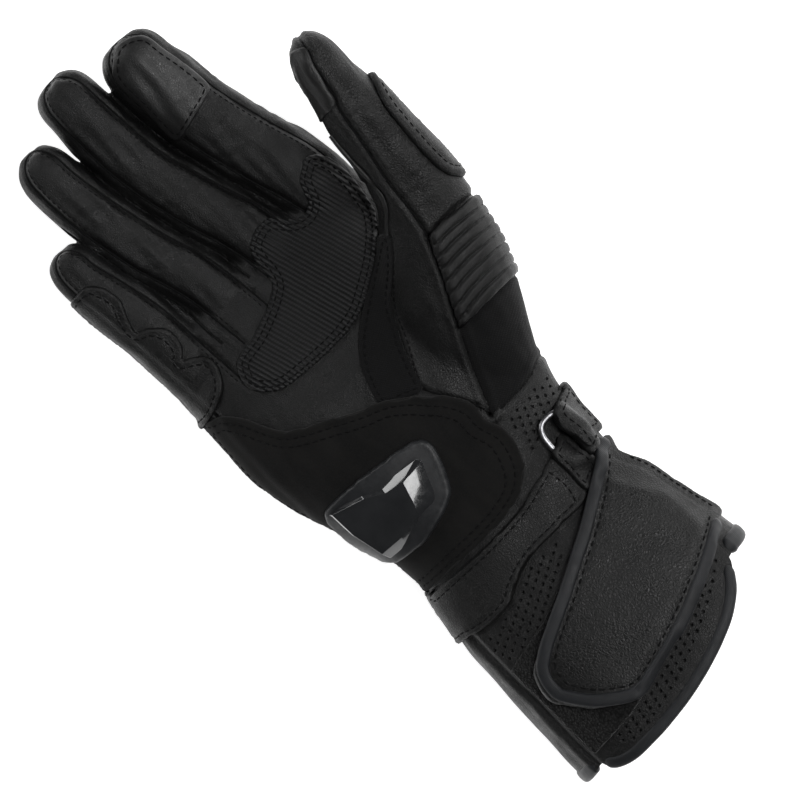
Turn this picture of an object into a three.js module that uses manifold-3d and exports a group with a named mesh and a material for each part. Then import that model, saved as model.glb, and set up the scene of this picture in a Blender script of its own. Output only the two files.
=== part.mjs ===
// A right-hand motorcycle gauntlet that lies on its back with the palm up: leather panels round a hollow
// for the hand, sewn patches, a palm slider, a ribbed stretch panel on the thumb, a wrist strap through a
// ring, and a flared cuff with a closure flap. Millimetres. +Y runs to the fingertips, +X to the thumb and
// +Z out of the palm. The origin lies under the middle of the palm, on the surface that the glove rests on.
import * as THREE from "three";
import { mergeVertices } from "three/addons/utils/BufferGeometryUtils.js";
import Module from "manifold-3d";

const wasm = await Module();
wasm.setup();

// Driving sizes.
const HAND_WIDTH = 100; // across the palm
const PALM_LENGTH = 100; // little finger's root to the heel's edge
const HAND_DEPTH = 40; // back of the hand to the heel of the palm
const CUFF_LENGTH = 100; // wrist crease to hem
const CUFF_WIDTH = 100;
const CUFF_DEPTH = 52;
const INDEX_LENGTH = 102;
const INDEX_WIDTH = 27;
const MIDDLE_LENGTH = 106;
const MIDDLE_WIDTH = 24;
const RING_LENGTH = 105;
const RING_WIDTH = 22;
const LITTLE_LENGTH = 86;
const LITTLE_WIDTH = 22;
const THUMB_LENGTH = 141;
const THUMB_WIDTH = 24;
const FINGER_DEPTH_SHARE = 0.94; // a finger's thickness over its width
const WALL = 1.8; // leather with its lining
const GAP = 0.3; // between pieces that are sewn or laid together
const SEAM_INSET = 3.4; // how far a finger's front panel stays inside its outline
const PATCH = 1.2; // a sewn patch
const GRIP_PATCH = 1.5;
const HEEL_PATCH = 1.6;
const SLIDER_FRAME = 2.6;
const SLIDER_DOME = 6.2;
const RIB_HEIGHT = 1.5;
const RIBS = 8;
const THUMB_GUARD = 3.2;
const LOOP_PAD = 1.4;
const FLAP = 2.4;
const FLAP_BINDING = 3.6;
const BINDING_BAND = 4.2; // visible width of a bound edge
const HEM_BINDING = 0.9; // how far a bound edge stands off the wall on each side
const STRAP = 2.2;
const STRAP_END = 4.6; // where the strap is folded round the ring
const RING_TAB = 3.4; // the tab that holds the ring
const RING_WIRE = 2.2;
const RING_LENGTH_ALONG = 17; // the metal ring, along the glove
const RING_SPAN = 11; // and across it

const FLOOR_CUT = 1.0; // how much of the round back is flattened where it rests
const TRUNK_SIDES = 24;
const FINGER_SIDES = 10;
const THUMB_SIDES = 14;
const ABOVE = 200; // higher than anything
const WRIST_CREASE = -0.45 * PALM_LENGTH;

// Booleans: a piece is a Manifold until the end.
function solidFrom(geometry) {
  const bare = new THREE.BufferGeometry();
  const flat = geometry.index ? geometry.toNonIndexed() : geometry;
  bare.setAttribute("position", flat.getAttribute("position"));
  const merged = mergeVertices(bare, 1e-4);
  return new wasm.Manifold(
    new wasm.Mesh({
      numProp: 3,
      vertProperties: new Float32Array(merged.attributes.position.array),
      triVerts: new Uint32Array(merged.index.array),
    }),
  );
}

function geometryFrom(solid) {
  const mesh = solid.getMesh();
  const geometry = new THREE.BufferGeometry();
  const positions = new Float32Array(mesh.numVert * 3);
  for (let i = 0; i < mesh.numVert; i++) {
    positions.set(mesh.vertProperties.subarray(i * mesh.numProp, i * mesh.numProp + 3), i * 3);
  }
  geometry.setAttribute("position", new THREE.BufferAttribute(positions, 3));
  geometry.setIndex(new THREE.BufferAttribute(mesh.triVerts, 1));
  geometry.computeVertexNormals();
  return geometry;
}

const unite = (solids) => solids.reduce((sum, next) => sum.add(next));

function volumeOf(positions, triangles) {
  const at = (i) => new THREE.Vector3().fromArray(positions, i * 3);
  let sum = 0;
  for (let t = 0; t < triangles.length; t += 3) {
    sum += at(triangles[t]).dot(at(triangles[t + 1]).cross(at(triangles[t + 2])));
  }
  return sum / 6;
}

// The main body of a cut piece, without slivers that a panel's edge leaves.
function largest(solid) {
  const mesh = solid.getMesh();
  const raw = new THREE.BufferGeometry();
  raw.setAttribute("position", new THREE.BufferAttribute(mesh.vertProperties, 3));
  raw.setIndex(new THREE.BufferAttribute(mesh.triVerts, 1));
  const merged = mergeVertices(raw.toNonIndexed(), 1e-3);
  const positions = merged.attributes.position.array;
  const index = merged.index.array;
  const faces = [];
  for (let t = 0; t < index.length; t += 3) {
    const face = [...index.slice(t, t + 3)];
    if (new Set(face).size === 3) faces.push(face);
  }
  const owner = faces.map((_, i) => i);
  const root = (i) => {
    while (owner[i] !== i) i = owner[i] = owner[owner[i]];
    return i;
  };
  const across = new Map();
  faces.forEach((face, i) =>
    face.forEach((from, k) => {
      const to = face[(k + 1) % 3];
      const mate = across.get(`${to} ${from}`);
      if (mate === undefined) across.set(`${from} ${to}`, i);
      else owner[root(i)] = root(mate);
    }),
  );
  const bodies = new Map();
  faces.forEach((face, i) => {
    const key = root(i);
    if (!bodies.has(key)) bodies.set(key, []);
    bodies.get(key).push(...face);
  });
  const size = (triangles) => volumeOf(positions, triangles);
  const best = [...bodies.values()].reduce((a, b) => (size(b) > size(a) ? b : a));
  merged.setIndex(best);
  return solidFrom(merged);
}

// A closed tube through rings of points, with flat ends.
function loft(rings) {
  const count = rings[0].length;
  const positions = [];
  const triangles = [];
  for (const ring of rings) for (const p of ring) positions.push(p.x, p.y, p.z);
  for (let r = 0; r + 1 < rings.length; r++) {
    for (let i = 0; i < count; i++) {
      const a = r * count + i;
      const b = r * count + ((i + 1) % count);
      triangles.push(a, b, b + count, a, b + count, a + count);
    }
  }
  for (const [row, turn] of [[0, true], [rings.length - 1, false]]) {
    const centre = positions.length / 3;
    const mid = rings[row].reduce((sum, p) => sum.add(p), new THREE.Vector3()).divideScalar(count);
    positions.push(mid.x, mid.y, mid.z);
    for (let i = 0; i < count; i++) {
      const a = row * count + i;
      const b = row * count + ((i + 1) % count);
      if (turn) triangles.push(centre, b, a);
      else triangles.push(centre, a, b);
    }
  }
  const geometry = new THREE.BufferGeometry();
  geometry.setAttribute("position", new THREE.Float32BufferAttribute(positions, 3));
  geometry.setIndex(volumeOf(positions, triangles) > 0 ? triangles : triangles.reverse());
  return solidFrom(geometry);
}

// One rounded section: half widths out to each side, up and down, and a dent in its top.
function ring({ at, side, up, wide, high, low, square, sides, dent = 0, dentAt = 0 }) {
  const points = [];
  for (let i = 0; i < sides; i++) {
    const angle = (i / sides) * Math.PI * 2;
    const c = Math.cos(angle);
    const s = Math.sin(angle);
    const u = Math.sign(c) * Math.abs(c) ** (2 / square);
    const v = Math.sign(s) * Math.abs(s) ** (2 / square);
    const hollow = v > 0 ? dent * Math.exp(-(((u - dentAt) / 0.42) ** 2)) : 0;
    points.push(
      at
        .clone()
        .addScaledVector(side, u * wide)
        .addScaledVector(up, v > 0 ? v * high - hollow : v * low),
    );
  }
  return points;
}

// Trunk: palm and cuff in one. Lengths are shares: y of PALM_LENGTH from the origin or of CUFF_LENGTH from
// the wrist crease, left and right of the width, top and dent of the depth.
const palmRows = [
  { y: 0.78, left: -0.34, right: 0.35, top: 0.54, dent: 0 },
  { y: 0.68, left: -0.47, right: 0.44, top: 0.66, dent: 0.02 },
  { y: 0.54, left: -0.535, right: 0.45, top: 0.76, dent: 0.08 },
  { y: 0.4, left: -0.543, right: 0.44, top: 0.86, dent: 0.13 },
  { y: 0.2, left: -0.552, right: 0.43, top: 0.96, dent: 0.12 },
  { y: 0, left: -0.526, right: 0.44, top: 1.02, dent: 0.05 },
  { y: -0.2, left: -0.46, right: 0.475, top: 1.0, dent: 0 },
  { y: -0.35, left: -0.41, right: 0.435, top: 0.96, dent: 0 },
];
const cuffRows = [
  { s: 0.06, left: -0.395, right: 0.42, top: 0.73 },
  { s: 0.2, left: -0.428, right: 0.415, top: 0.74 },
  { s: 0.36, left: -0.456, right: 0.463, top: 0.8 },
  { s: 0.56, left: -0.469, right: 0.503, top: 0.88 },
  { s: 0.76, left: -0.479, right: 0.528, top: 0.95 },
  { s: 1.1, left: -0.488, right: 0.535, top: 1.0 },
];
const TRUNK_SQUARE = 2.5;
const WIDEST_AT = 0.44; // height of the widest line, as a share of the depth there

function trunkRing({ y, left, right, width, top, dent }, d) {
  const middle = top * WIDEST_AT;
  return ring({
    at: new THREE.Vector3(((left + right) / 2) * width, y, middle),
    side: new THREE.Vector3(1, 0, 0),
    up: new THREE.Vector3(0, 0, 1),
    wide: ((right - left) / 2) * width + d,
    high: top - middle + d,
    low: middle + FLOOR_CUT + d,
    square: TRUNK_SQUARE,
    sides: TRUNK_SIDES,
    dent,
    dentAt: 0.1,
  });
}

const cuffY = (s) => WRIST_CREASE - s * CUFF_LENGTH;

// d grows the form all round. reach lengthens it past the cuff's mouth.
function trunk(d, reach = 0) {
  const rows = [
    ...palmRows.map((row, i) => ({
      y: row.y * PALM_LENGTH + (i === 0 ? d : 0),
      left: row.left,
      right: row.right,
      width: HAND_WIDTH,
      top: row.top * HAND_DEPTH,
      dent: row.dent * HAND_DEPTH,
    })),
    ...cuffRows.map((row, i) => ({
      y: cuffY(row.s) - (i === cuffRows.length - 1 ? reach : 0),
      left: row.left,
      right: row.right,
      width: CUFF_WIDTH,
      top: row.top * CUFF_DEPTH,
      dent: 0,
    })),
  ];
  return loft(rows.map((row) => trunkRing(row, d)));
}

// Digits: along, across and lift place the section's middle from the root, as shares of the digit's length.
// wide and deep are shares of its half width and half depth. The tip is a rounded dome.
const rootHeight = 0.37 * HAND_DEPTH;
const digits = {
  index: {
    root: [0.35 * HAND_WIDTH, 0.58 * PALM_LENGTH, rootHeight],
    length: INDEX_LENGTH,
    width: INDEX_WIDTH,
    tip: [0.992, -0.152],
    rows: [
      { along: -0.06, across: 0, lift: -0.02, wide: 0.82, deep: 0.8 },
      { along: 0.216, across: -0.033, lift: 0, wide: 1.035, deep: 1.0 },
      { along: 0.412, across: -0.087, lift: 0.02, wide: 1.05, deep: 0.98 },
      { along: 0.608, across: -0.133, lift: 0.05, wide: 1.035, deep: 0.96 },
      { along: 0.76, across: -0.153, lift: 0.085, wide: 1.03, deep: 0.93 },
      { along: 0.865, across: -0.164, lift: 0.115, wide: 0.963, deep: 0.88 },
    ],
  },
  middle: {
    root: [0.07 * HAND_WIDTH, 0.6 * PALM_LENGTH, rootHeight],
    length: MIDDLE_LENGTH,
    width: MIDDLE_WIDTH,
    tip: [1, -0.142],
    rows: [
      { along: 0, across: 0, lift: -0.01, wide: 1.0, deep: 0.98 },
      { along: 0.189, across: -0.024, lift: 0, wide: 1.04, deep: 1.06 },
      { along: 0.377, across: -0.078, lift: 0.015, wide: 1.03, deep: 1.04 },
      { along: 0.566, across: -0.124, lift: 0.04, wide: 0.99, deep: 1.0 },
      { along: 0.755, across: -0.14, lift: 0.08, wide: 0.98, deep: 0.97 },
      { along: 0.885, across: -0.142, lift: 0.115, wide: 0.94, deep: 0.92 },
    ],
  },
  ring: {
    root: [-0.165 * HAND_WIDTH, 0.485 * PALM_LENGTH, rootHeight],
    length: RING_LENGTH,
    width: RING_WIDTH,
    tip: [1, -0.132],
    rows: [
      { along: 0, across: 0, lift: -0.01, wide: 1.0, deep: 1.0 },
      { along: 0.157, across: -0.014, lift: 0, wide: 1.02, deep: 1.06 },
      { along: 0.303, across: -0.033, lift: 0.01, wide: 1.02, deep: 1.06 },
      { along: 0.493, across: -0.087, lift: 0.03, wide: 1.02, deep: 1.02 },
      { along: 0.682, across: -0.125, lift: 0.06, wide: 1.0, deep: 1.0 },
      { along: 0.872, across: -0.144, lift: 0.11, wide: 0.93, deep: 0.92 },
    ],
  },
  little: {
    root: [-0.41 * HAND_WIDTH, 0.355 * PALM_LENGTH, rootHeight],
    length: LITTLE_LENGTH,
    width: LITTLE_WIDTH,
    tip: [1, -0.082],
    rows: [
      { along: 0, across: 0, lift: -0.01, wide: 1.0, deep: 0.98 },
      { along: 0.285, across: -0.02, lift: 0, wide: 1.0, deep: 1.04 },
      { along: 0.515, across: -0.035, lift: 0.02, wide: 1.02, deep: 1.0 },
      { along: 0.72, across: -0.063, lift: 0.06, wide: 0.93, deep: 0.94 },
      { along: 0.875, across: -0.087, lift: 0.1, wide: 0.85, deep: 0.84 },
    ],
  },
  thumb: {
    root: [0.26 * HAND_WIDTH, -0.28 * PALM_LENGTH, 0.5 * HAND_DEPTH],
    length: THUMB_LENGTH,
    width: THUMB_WIDTH,
    tip: [1.003, 0.27],
    rows: [
      { along: 0, across: 0, lift: 0, wide: 1.25, deep: 1.05 },
      { along: 0.13, across: 0.043, lift: 0.015, wide: 1.6, deep: 1.55 },
      { along: 0.27, across: 0.088, lift: 0.05, wide: 1.88, deep: 1.66 },
      { along: 0.4, across: 0.152, lift: 0.09, wide: 1.74, deep: 1.56 },
      { along: 0.518, across: 0.208, lift: 0.13, wide: 1.33, deep: 1.36 },
      { along: 0.638, across: 0.228, lift: 0.175, wide: 1.12, deep: 1.2 },
      { along: 0.765, across: 0.237, lift: 0.22, wide: 1.01, deep: 1.1 },
      { along: 0.872, across: 0.252, lift: 0.255, wide: 0.8, deep: 0.94 },
    ],
  },
};
const DIGIT_SQUARE = 2.25;
const DOME = [
  { out: 0.46, scale: 0.94 },
  { out: 0.82, scale: 0.67 },
  { out: 1, scale: 0.24 },
];

// The sections of a digit: place, directions and half sizes.
function digitSections({ root, length, width, tip, rows }) {
  const origin = new THREE.Vector3(...root);
  const points = rows.map((row) =>
    origin.clone().add(new THREE.Vector3(row.across, row.along, row.lift).multiplyScalar(length)),
  );
  const lastLift = rows[rows.length - 1].lift;
  const end = origin
    .clone()
    .add(new THREE.Vector3(tip[1], tip[0], lastLift + 0.02).multiplyScalar(length));
  points.push(end);
  const halfWide = width / 2;
  const halfDeep = halfWide * FINGER_DEPTH_SHARE;
  return points.map((at, i) => {
    const along = points[Math.min(i + 1, points.length - 1)].clone().sub(points[Math.max(i - 1, 0)]).normalize();
    const side = new THREE.Vector3(along.y, -along.x, 0).normalize();
    const up = side.clone().cross(along);
    const row = rows[Math.min(i, rows.length - 1)];
    return { at, side, up, wide: row.wide * halfWide, deep: row.deep * halfDeep };
  });
}

// The dome's sections run from the last full section to the tip, d further out.
function domeSections(sections, d) {
  const last = sections[sections.length - 2];
  const tip = sections[sections.length - 1];
  const reach = tip.at.clone().sub(last.at);
  const stretch = (reach.length() + d) / reach.length();
  return DOME.map(({ out, scale }) => ({
    at: last.at.clone().addScaledVector(reach, out * stretch),
    side: last.side,
    up: last.up,
    wide: (last.wide + d) * scale,
    deep: (last.deep + d) * scale,
  }));
}

function digit(name, d) {
  const sections = digitSections(digits[name]);
  const full = sections.slice(0, -1).map((s) => ({ ...s, wide: s.wide + d, deep: s.deep + d }));
  const back = new THREE.Vector3().crossVectors(full[0].side, full[0].up);
  full[0] = { ...full[0], at: full[0].at.clone().addScaledVector(back, d) };
  const sides = name === "thumb" ? THUMB_SIDES : FINGER_SIDES;
  return loft(
    [...full, ...domeSections(sections, d)].map((s) =>
      ring({
        at: s.at,
        side: s.side,
        up: s.up,
        wide: s.wide,
        high: s.deep,
        low: s.deep,
        square: DIGIT_SQUARE,
        sides,
      }),
    ),
  );
}

// Everything above a digit's middle and SEAM_INSET inside its outline: where its front panel lies.
function digitFront(name, grow) {
  const sections = digitSections(digits[name]);
  const rings = [...sections.slice(0, -1), ...domeSections(sections, 0)]
    .filter((s) => s.wide > SEAM_INSET + 1)
    .map((s, i, all) => {
      const half = s.wide - SEAM_INSET + grow;
      const at = s.at.clone();
      const end = i === 0 ? -SEAM_INSET - grow : i === all.length - 1 ? grow : 0;
      at.addScaledVector(new THREE.Vector3().crossVectors(s.up, s.side), end);
      const tall = (u, v) => at.clone().addScaledVector(s.side, u * half).addScaledVector(s.up, v);
      return [tall(-1, -grow), tall(1, -grow), tall(1, ABOVE / 4), tall(-1, ABOVE / 4)];
    });
  return loft(rings);
}

const FINGERS = ["index", "middle", "ring", "little"];
const handForm = (d, reach = 0) => unite([trunk(d, reach), ...FINGERS.map((name) => digit(name, d))]);

// Flat outlines: points are shares, x of a width and y of a length, joined by a smooth or a straight line.
const palmPoint = ([u, v]) => new THREE.Vector2(u * HAND_WIDTH, v * PALM_LENGTH);
const cuffPoint = ([u, s]) => new THREE.Vector2(u * CUFF_WIDTH, cuffY(s));
const thumbPoint = ([u, v]) =>
  new THREE.Vector2(
    digits.thumb.root[0] + u * THUMB_LENGTH,
    digits.thumb.root[1] + v * THUMB_LENGTH,
  );

function smooth(points, perSpan = 2) {
  const curve = new THREE.CatmullRomCurve3(
    points.map((p) => new THREE.Vector3(p.x, p.y, 0)),
    true,
    "centripetal",
  );
  return curve
    .getPoints(points.length * perSpan)
    .slice(0, -1)
    .map((p) => new THREE.Vector2(p.x, p.y));
}

// Each point of an outline moved outwards by d, with its corners kept.
function moved(points, d) {
  const turn = Math.sign(THREE.ShapeUtils.area(points));
  const outward = (a, b) => new THREE.Vector2(b.y - a.y, a.x - b.x).normalize().multiplyScalar(turn);
  return points.map((p, i) => {
    const before = outward(points[(i + points.length - 1) % points.length], p);
    const after = outward(p, points[(i + 1) % points.length]);
    const middle = before.clone().add(after).normalize();
    return p.clone().addScaledVector(middle, d / Math.max(0.5, middle.dot(before)));
  });
}

// The same without the points that fold over where the outline bends tightly.
function grown(points, d) {
  const line = new THREE.Line3();
  const nearest = new THREE.Vector3();
  const flat = points.map((p) => new THREE.Vector3(p.x, p.y, 0));
  return moved(points, d).filter((p) => {
    const at = new THREE.Vector3(p.x, p.y, 0);
    return flat.every((a, i) => {
      line.set(a, flat[(i + 1) % flat.length]);
      line.closestPointToPoint(at, true, nearest);
      return nearest.distanceTo(at) >= Math.abs(d) * 0.97;
    });
  });
}

function prism(points, low = -ABOVE, high = ABOVE) {
  const shape = new THREE.Shape(points);
  const geometry = new THREE.ExtrudeGeometry(shape, { depth: high - low, bevelEnabled: false });
  geometry.translate(0, 0, low);
  return solidFrom(geometry);
}

// Outlines on the palm and the thumb.
const gripOutline = smooth(
  [
    [-0.345, 0.43], [-0.31, 0.495], [-0.2, 0.52], [-0.06, 0.575], [-0.018, 0.66], [0.01, 0.755],
    [0.1, 0.785], [0.16, 0.735], [0.215, 0.7], [0.26, 0.72], [0.29, 0.79], [0.37, 0.83],
    [0.45, 0.76], [0.46, 0.6], [0.4, 0.46], [0.24, 0.38], [0.1, 0.31], [-0.1, 0.297],
    [-0.27, 0.32],
  ].map(palmPoint),
);
const heelOutline = smooth(
  [
    [-0.7, 0.42], [-0.4, 0.42], [-0.387, 0.25], [-0.3, 0.165], [-0.1, 0.065], [0.05, -0.025],
    [0.14, -0.12], [0.19, -0.26], [0.185, -0.38], [0.1, -0.47], [-0.1, -0.5], [-0.4, -0.505],
    [-0.7, -0.5],
  ].map(palmPoint),
);
const sliderOutline = smooth(
  [
    [-0.473, -0.12], [-0.44, -0.087], [-0.3, -0.093], [-0.1, -0.125], [-0.03, -0.17],
    [-0.05, -0.27], [-0.12, -0.365], [-0.27, -0.41], [-0.4, -0.385], [-0.45, -0.26],
  ].map(palmPoint),
);
// The insert's foot and its flat top, corner by corner.
const domeFoot = [
  [-0.445, -0.112], [-0.33, -0.122], [-0.24, -0.15], [-0.1, -0.18],
  [-0.105, -0.245], [-0.165, -0.34], [-0.29, -0.37], [-0.4, -0.35],
].map(palmPoint);
const domeTop = [
  [-0.415, -0.145], [-0.33, -0.16], [-0.26, -0.19], [-0.19, -0.21],
  [-0.185, -0.255], [-0.225, -0.305], [-0.3, -0.33], [-0.385, -0.32],
].map(palmPoint);
const stripOutline = smooth(
  [
    [0.36, 0.45], [0.2, 0.345], [0.06, 0.245], [-0.02, 0.17], [-0.055, 0.055], [0.03, 0.0],
    [0.08, -0.005], [0.13, 0.1], [0.19, 0.215], [0.29, 0.32],
  ].map(palmPoint),
);
const guardOutline = smooth(
  [
    [-0.7, 1.05], [-0.52, 1.055], [-0.455, 1.01], [-0.44, 0.94], [-0.47, 0.88], [-0.485, 0.82],
    [-0.44, 0.8], [-0.395, 0.74], [-0.41, 0.665], [-0.44, 0.64], [-0.39, 0.61], [-0.357, 0.57],
    [-0.39, 0.49], [-0.45, 0.44], [-0.54, 0.425], [-0.7, 0.425],
  ].map(palmPoint),
);
const indexTipOutline = smooth(
  [
    [0.088, 1.22], [0.085, 1.48], [0.13, 1.54], [0.19, 1.568], [0.25, 1.545], [0.278, 1.49],
    [0.3, 1.32], [0.3, 1.25], [0.2, 1.215],
  ].map(palmPoint),
);
const thumbTipOutline = [
  [0.0, 0.82], [0.215, 0.815], [0.229, 0.87], [0.243, 0.93], [0.262, 1.05], [0.0, 1.05],
].map(thumbPoint);

// The thumb's long seam, from its tip to the wrist, as shares of the thumb's length from its root.
const thumbSeam = [
  [0.285, 1.06], [0.256, 0.965], [0.232, 0.9], [0.215, 0.81], [0.19, 0.69], [0.171, 0.59],
  [0.163, 0.52], [0.145, 0.43], [0.112, 0.35], [0.078, 0.28], [0.043, 0.213], [0.007, 0.142],
  [-0.028, 0.057], [-0.05, 0.014],
].map(thumbPoint);
const farRight = (v) => thumbPoint([0.5, v]);
const RIB_TOP = 0.435; // along the thumb's length
const RIB_BOTTOM = 0.22;
const STRETCH_END = 0.02;
const seamSpan = (top, bottom) => {
  const y = (v) => thumbPoint([0, v]).y;
  return thumbSeam.filter((p) => p.y <= y(top) + 1e-6 && p.y >= y(bottom) - 1e-6);
};
// Where the long seam is at a height along the thumb.
function seamAt(v) {
  const y = thumbPoint([0, v]).y;
  const i = thumbSeam.findIndex((p) => p.y < y);
  const [a, b] = [thumbSeam[i - 1], thumbSeam[i]];
  return new THREE.Vector2(a.x + ((b.x - a.x) * (y - a.y)) / (b.y - a.y), y);
}
// The zone right of the long seam, between two heights.
const outerZone = (top, bottom) => [
  farRight(top),
  seamAt(top),
  ...seamSpan(top - 0.005, bottom + 0.005),
  seamAt(bottom),
  farRight(bottom),
];
const outerLeatherOutline = outerZone(1.05, RIB_TOP);
const accordionOutline = outerZone(RIB_TOP, RIB_BOTTOM);
const stretchOutline = outerZone(RIB_BOTTOM, STRETCH_END);
const thumbGuardOutline = [
  [0.328, 0.812], [0.3, 0.75], [0.286, 0.66], [0.282, 0.55], [0.29, 0.505], [0.31, 0.484],
  [0.322, 0.482], [0.333, 0.51], [0.342, 0.56], [0.345, 0.63], [0.342, 0.7], [0.334, 0.76],
].map(thumbPoint);

// The palm leather's outline behind the fingers.
const palmOutline = [
  [-0.47, -0.6], [-0.51, 0.2], [-0.5, 0.46], [-0.33, 0.5], [-0.29, 0.51], [-0.08, 0.63], [-0.05, 0.63],
  [0.18, 0.65], [0.22, 0.65], [0.4, 0.68], [0.42, 0.3], [0.42, -0.6],
].map(palmPoint);

// The hand ends and the cuff starts at one seam.
const wristSeam = [
  [-1, -0.52], [0.1, -0.52], [0.17, -0.44], [0.2, -0.255], [1, -0.245],
].map(palmPoint);
const handZone = [...wristSeam, ...[[1, 2], [-1, 2]].map(palmPoint)];

// Outlines on the cuff, as shares of its width and of its length from the wrist crease.
const frontHem = [
  [0.418, 0.762], [0.37, 0.826], [0.29, 0.885], [0.2, 0.925], [0.1, 0.957], [0, 0.98],
  [-0.1, 0.995], [-0.2, 1.003], [-0.32, 1.0], [-0.38, 0.973], [-0.398, 0.935],
].map(cuffPoint);
const cuffFrontOutline = [
  ...[[-0.41, 0.072], [0.1, 0.072], [0.17, 0.0], [0.2, -0.19], [0.43, -0.19]].map(cuffPoint),
  ...[[0.41, 0.1], [0.415, 0.5], [0.43, 0.66]].map(cuffPoint),
  ...frontHem,
  cuffPoint([-0.41, 0.5]),
];
const backHem = [[-0.6, 0.957], [-0.47, 0.957], [0.0, 0.85], [0.47, 0.735], [0.6, 0.735]].map(cuffPoint);
const flapOutline = smooth(
  [
    [0.41, 0.14], [0.3, 0.205], [0.1, 0.32], [-0.1, 0.42], [-0.3, 0.515], [-0.37, 0.565],
    [-0.388, 0.64], [-0.35, 0.72], [-0.25, 0.805], [-0.17, 0.85], [-0.08, 0.85], [0.1, 0.8],
    [0.3, 0.725], [0.485, 0.645], [0.49, 0.56], [0.46, 0.39], [0.43, 0.23],
  ].map(cuffPoint),
);
const loopOutline = [
  [-0.385, 0.5], [0.3, 0.3], [0.42, 0.5], [0.42, 0.67], [0.2, 0.8], [-0.1, 0.87], [-0.385, 0.87],
].map(cuffPoint);
const strapOutline = smooth(
  [
    [-0.6, 0.105], [-0.44, 0.105], [-0.3, 0.115], [-0.1, 0.12], [0.05, 0.11], [0.16, 0.085],
    [0.24, 0.07], [0.24, 0.24], [0.1, 0.255], [-0.05, 0.255], [-0.15, 0.285], [-0.22, 0.32],
    [-0.33, 0.325], [-0.44, 0.3], [-0.6, 0.3],
  ].map(cuffPoint),
);
const strapEndOutline = [[0.235, 0.06], [0.315, 0.045], [0.325, 0.205], [0.235, 0.235]].map(cuffPoint);
const tabOutline = [
  [0.345, -0.035], [0.445, -0.08], [0.6, -0.08], [0.6, 0.115], [0.42, 0.12], [0.345, 0.125],
].map(cuffPoint);

// The hollow form and its wall.
const everywhere = [[-3, -3], [3, -3], [3, 3], [-3, 3]].map(palmPoint);
const floorCut = prism(everywhere, -ABOVE, 0);
const liningFloor = prism(everywhere, -ABOVE, WALL);
const bindingFloor = prism(everywhere, -ABOVE, WALL + HEM_BINDING);
const trimmed = (solid) => solid.subtract(floorCut);
const hollow = unite([handForm(-WALL, CUFF_LENGTH * 0.2), digit("thumb", -WALL)]).subtract(liningFloor);
const hand = trimmed(handForm(0));
const handClear = handForm(GAP);
const thumbForm = digit("thumb", 0);
const thumbClear = digit("thumb", GAP);
const skin = hand.add(thumbForm).subtract(hollow);

const SIDE_HEIGHT = 0.2 * HAND_DEPTH; // thumb-side panels end this far above the floor
const accordionZone = prism(accordionOutline, SIDE_HEIGHT);
const accordionClear = prism(grown(accordionOutline, GAP), SIDE_HEIGHT - GAP);
const stretchZone = prism(stretchOutline, SIDE_HEIGHT);
const stretchClear = prism(grown(stretchOutline, GAP), SIDE_HEIGHT - GAP);
const sidePanels = accordionClear.add(stretchClear);
const handPrism = prism(handZone);
const handPrismClear = prism(grown(handZone, GAP));

const pieces = {};

// Palm leather with the fingers' fronts, and the back leather with their sides.
const PALM_LEVEL = 0.45 * HAND_DEPTH;
const frontZone = (grow) =>
  unite([
    prism(grown(palmOutline, grow), PALM_LEVEL - grow),
    ...FINGERS.map((name) => digitFront(name, grow)),
  ]);
const handWall = hand.subtract(hollow).subtract(sidePanels).intersect(handPrism);
pieces.palm_panel = { solid: largest(handWall.intersect(frontZone(0))), look: "leather" };
pieces.back_panel = { solid: largest(handWall.subtract(frontZone(GAP))), look: "leather" };

// The thumb: a panel on each side of its long seam.
const thumbWall = thumbForm.subtract(hollow).subtract(handClear).subtract(sidePanels).intersect(handPrism);
const outerLeather = prism(outerLeatherOutline);
pieces.thumb_outer_panel = { solid: largest(thumbWall.intersect(outerLeather)), look: "leather" };
pieces.thumb_inner_panel = {
  solid: largest(thumbWall.subtract(prism(grown(outerZone(1.05, STRETCH_END), GAP)))),
  look: "leather",
};

// Ribbed stretch panel: its wall carries round ribs.
const ribPitch = ((RIB_TOP - RIB_BOTTOM) * THUMB_LENGTH) / RIBS;
const ribSlabs = unite(
  Array.from({ length: RIBS }, (_, i) => {
    const middle = thumbPoint([0, RIB_BOTTOM]).y + (i + 0.5) * ribPitch;
    const half = 0.32 * ribPitch;
    return prism(
      [
        new THREE.Vector2(0, middle - half),
        new THREE.Vector2(2 * HAND_WIDTH, middle - half),
        new THREE.Vector2(2 * HAND_WIDTH, middle + half),
        new THREE.Vector2(0, middle + half),
      ],
      SIDE_HEIGHT,
    );
  }),
);
const ribs = digit("thumb", RIB_HEIGHT).subtract(digit("thumb", -WALL / 2)).intersect(ribSlabs);
const accordionWall = skin.intersect(accordionZone).subtract(handClear);
pieces.accordion_panel = {
  solid: largest(accordionWall.add(ribs.intersect(accordionZone).subtract(handClear))),
  look: "leather",
};
pieces.stretch_panel = { solid: largest(skin.intersect(stretchZone)), look: "stretch" };

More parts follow.
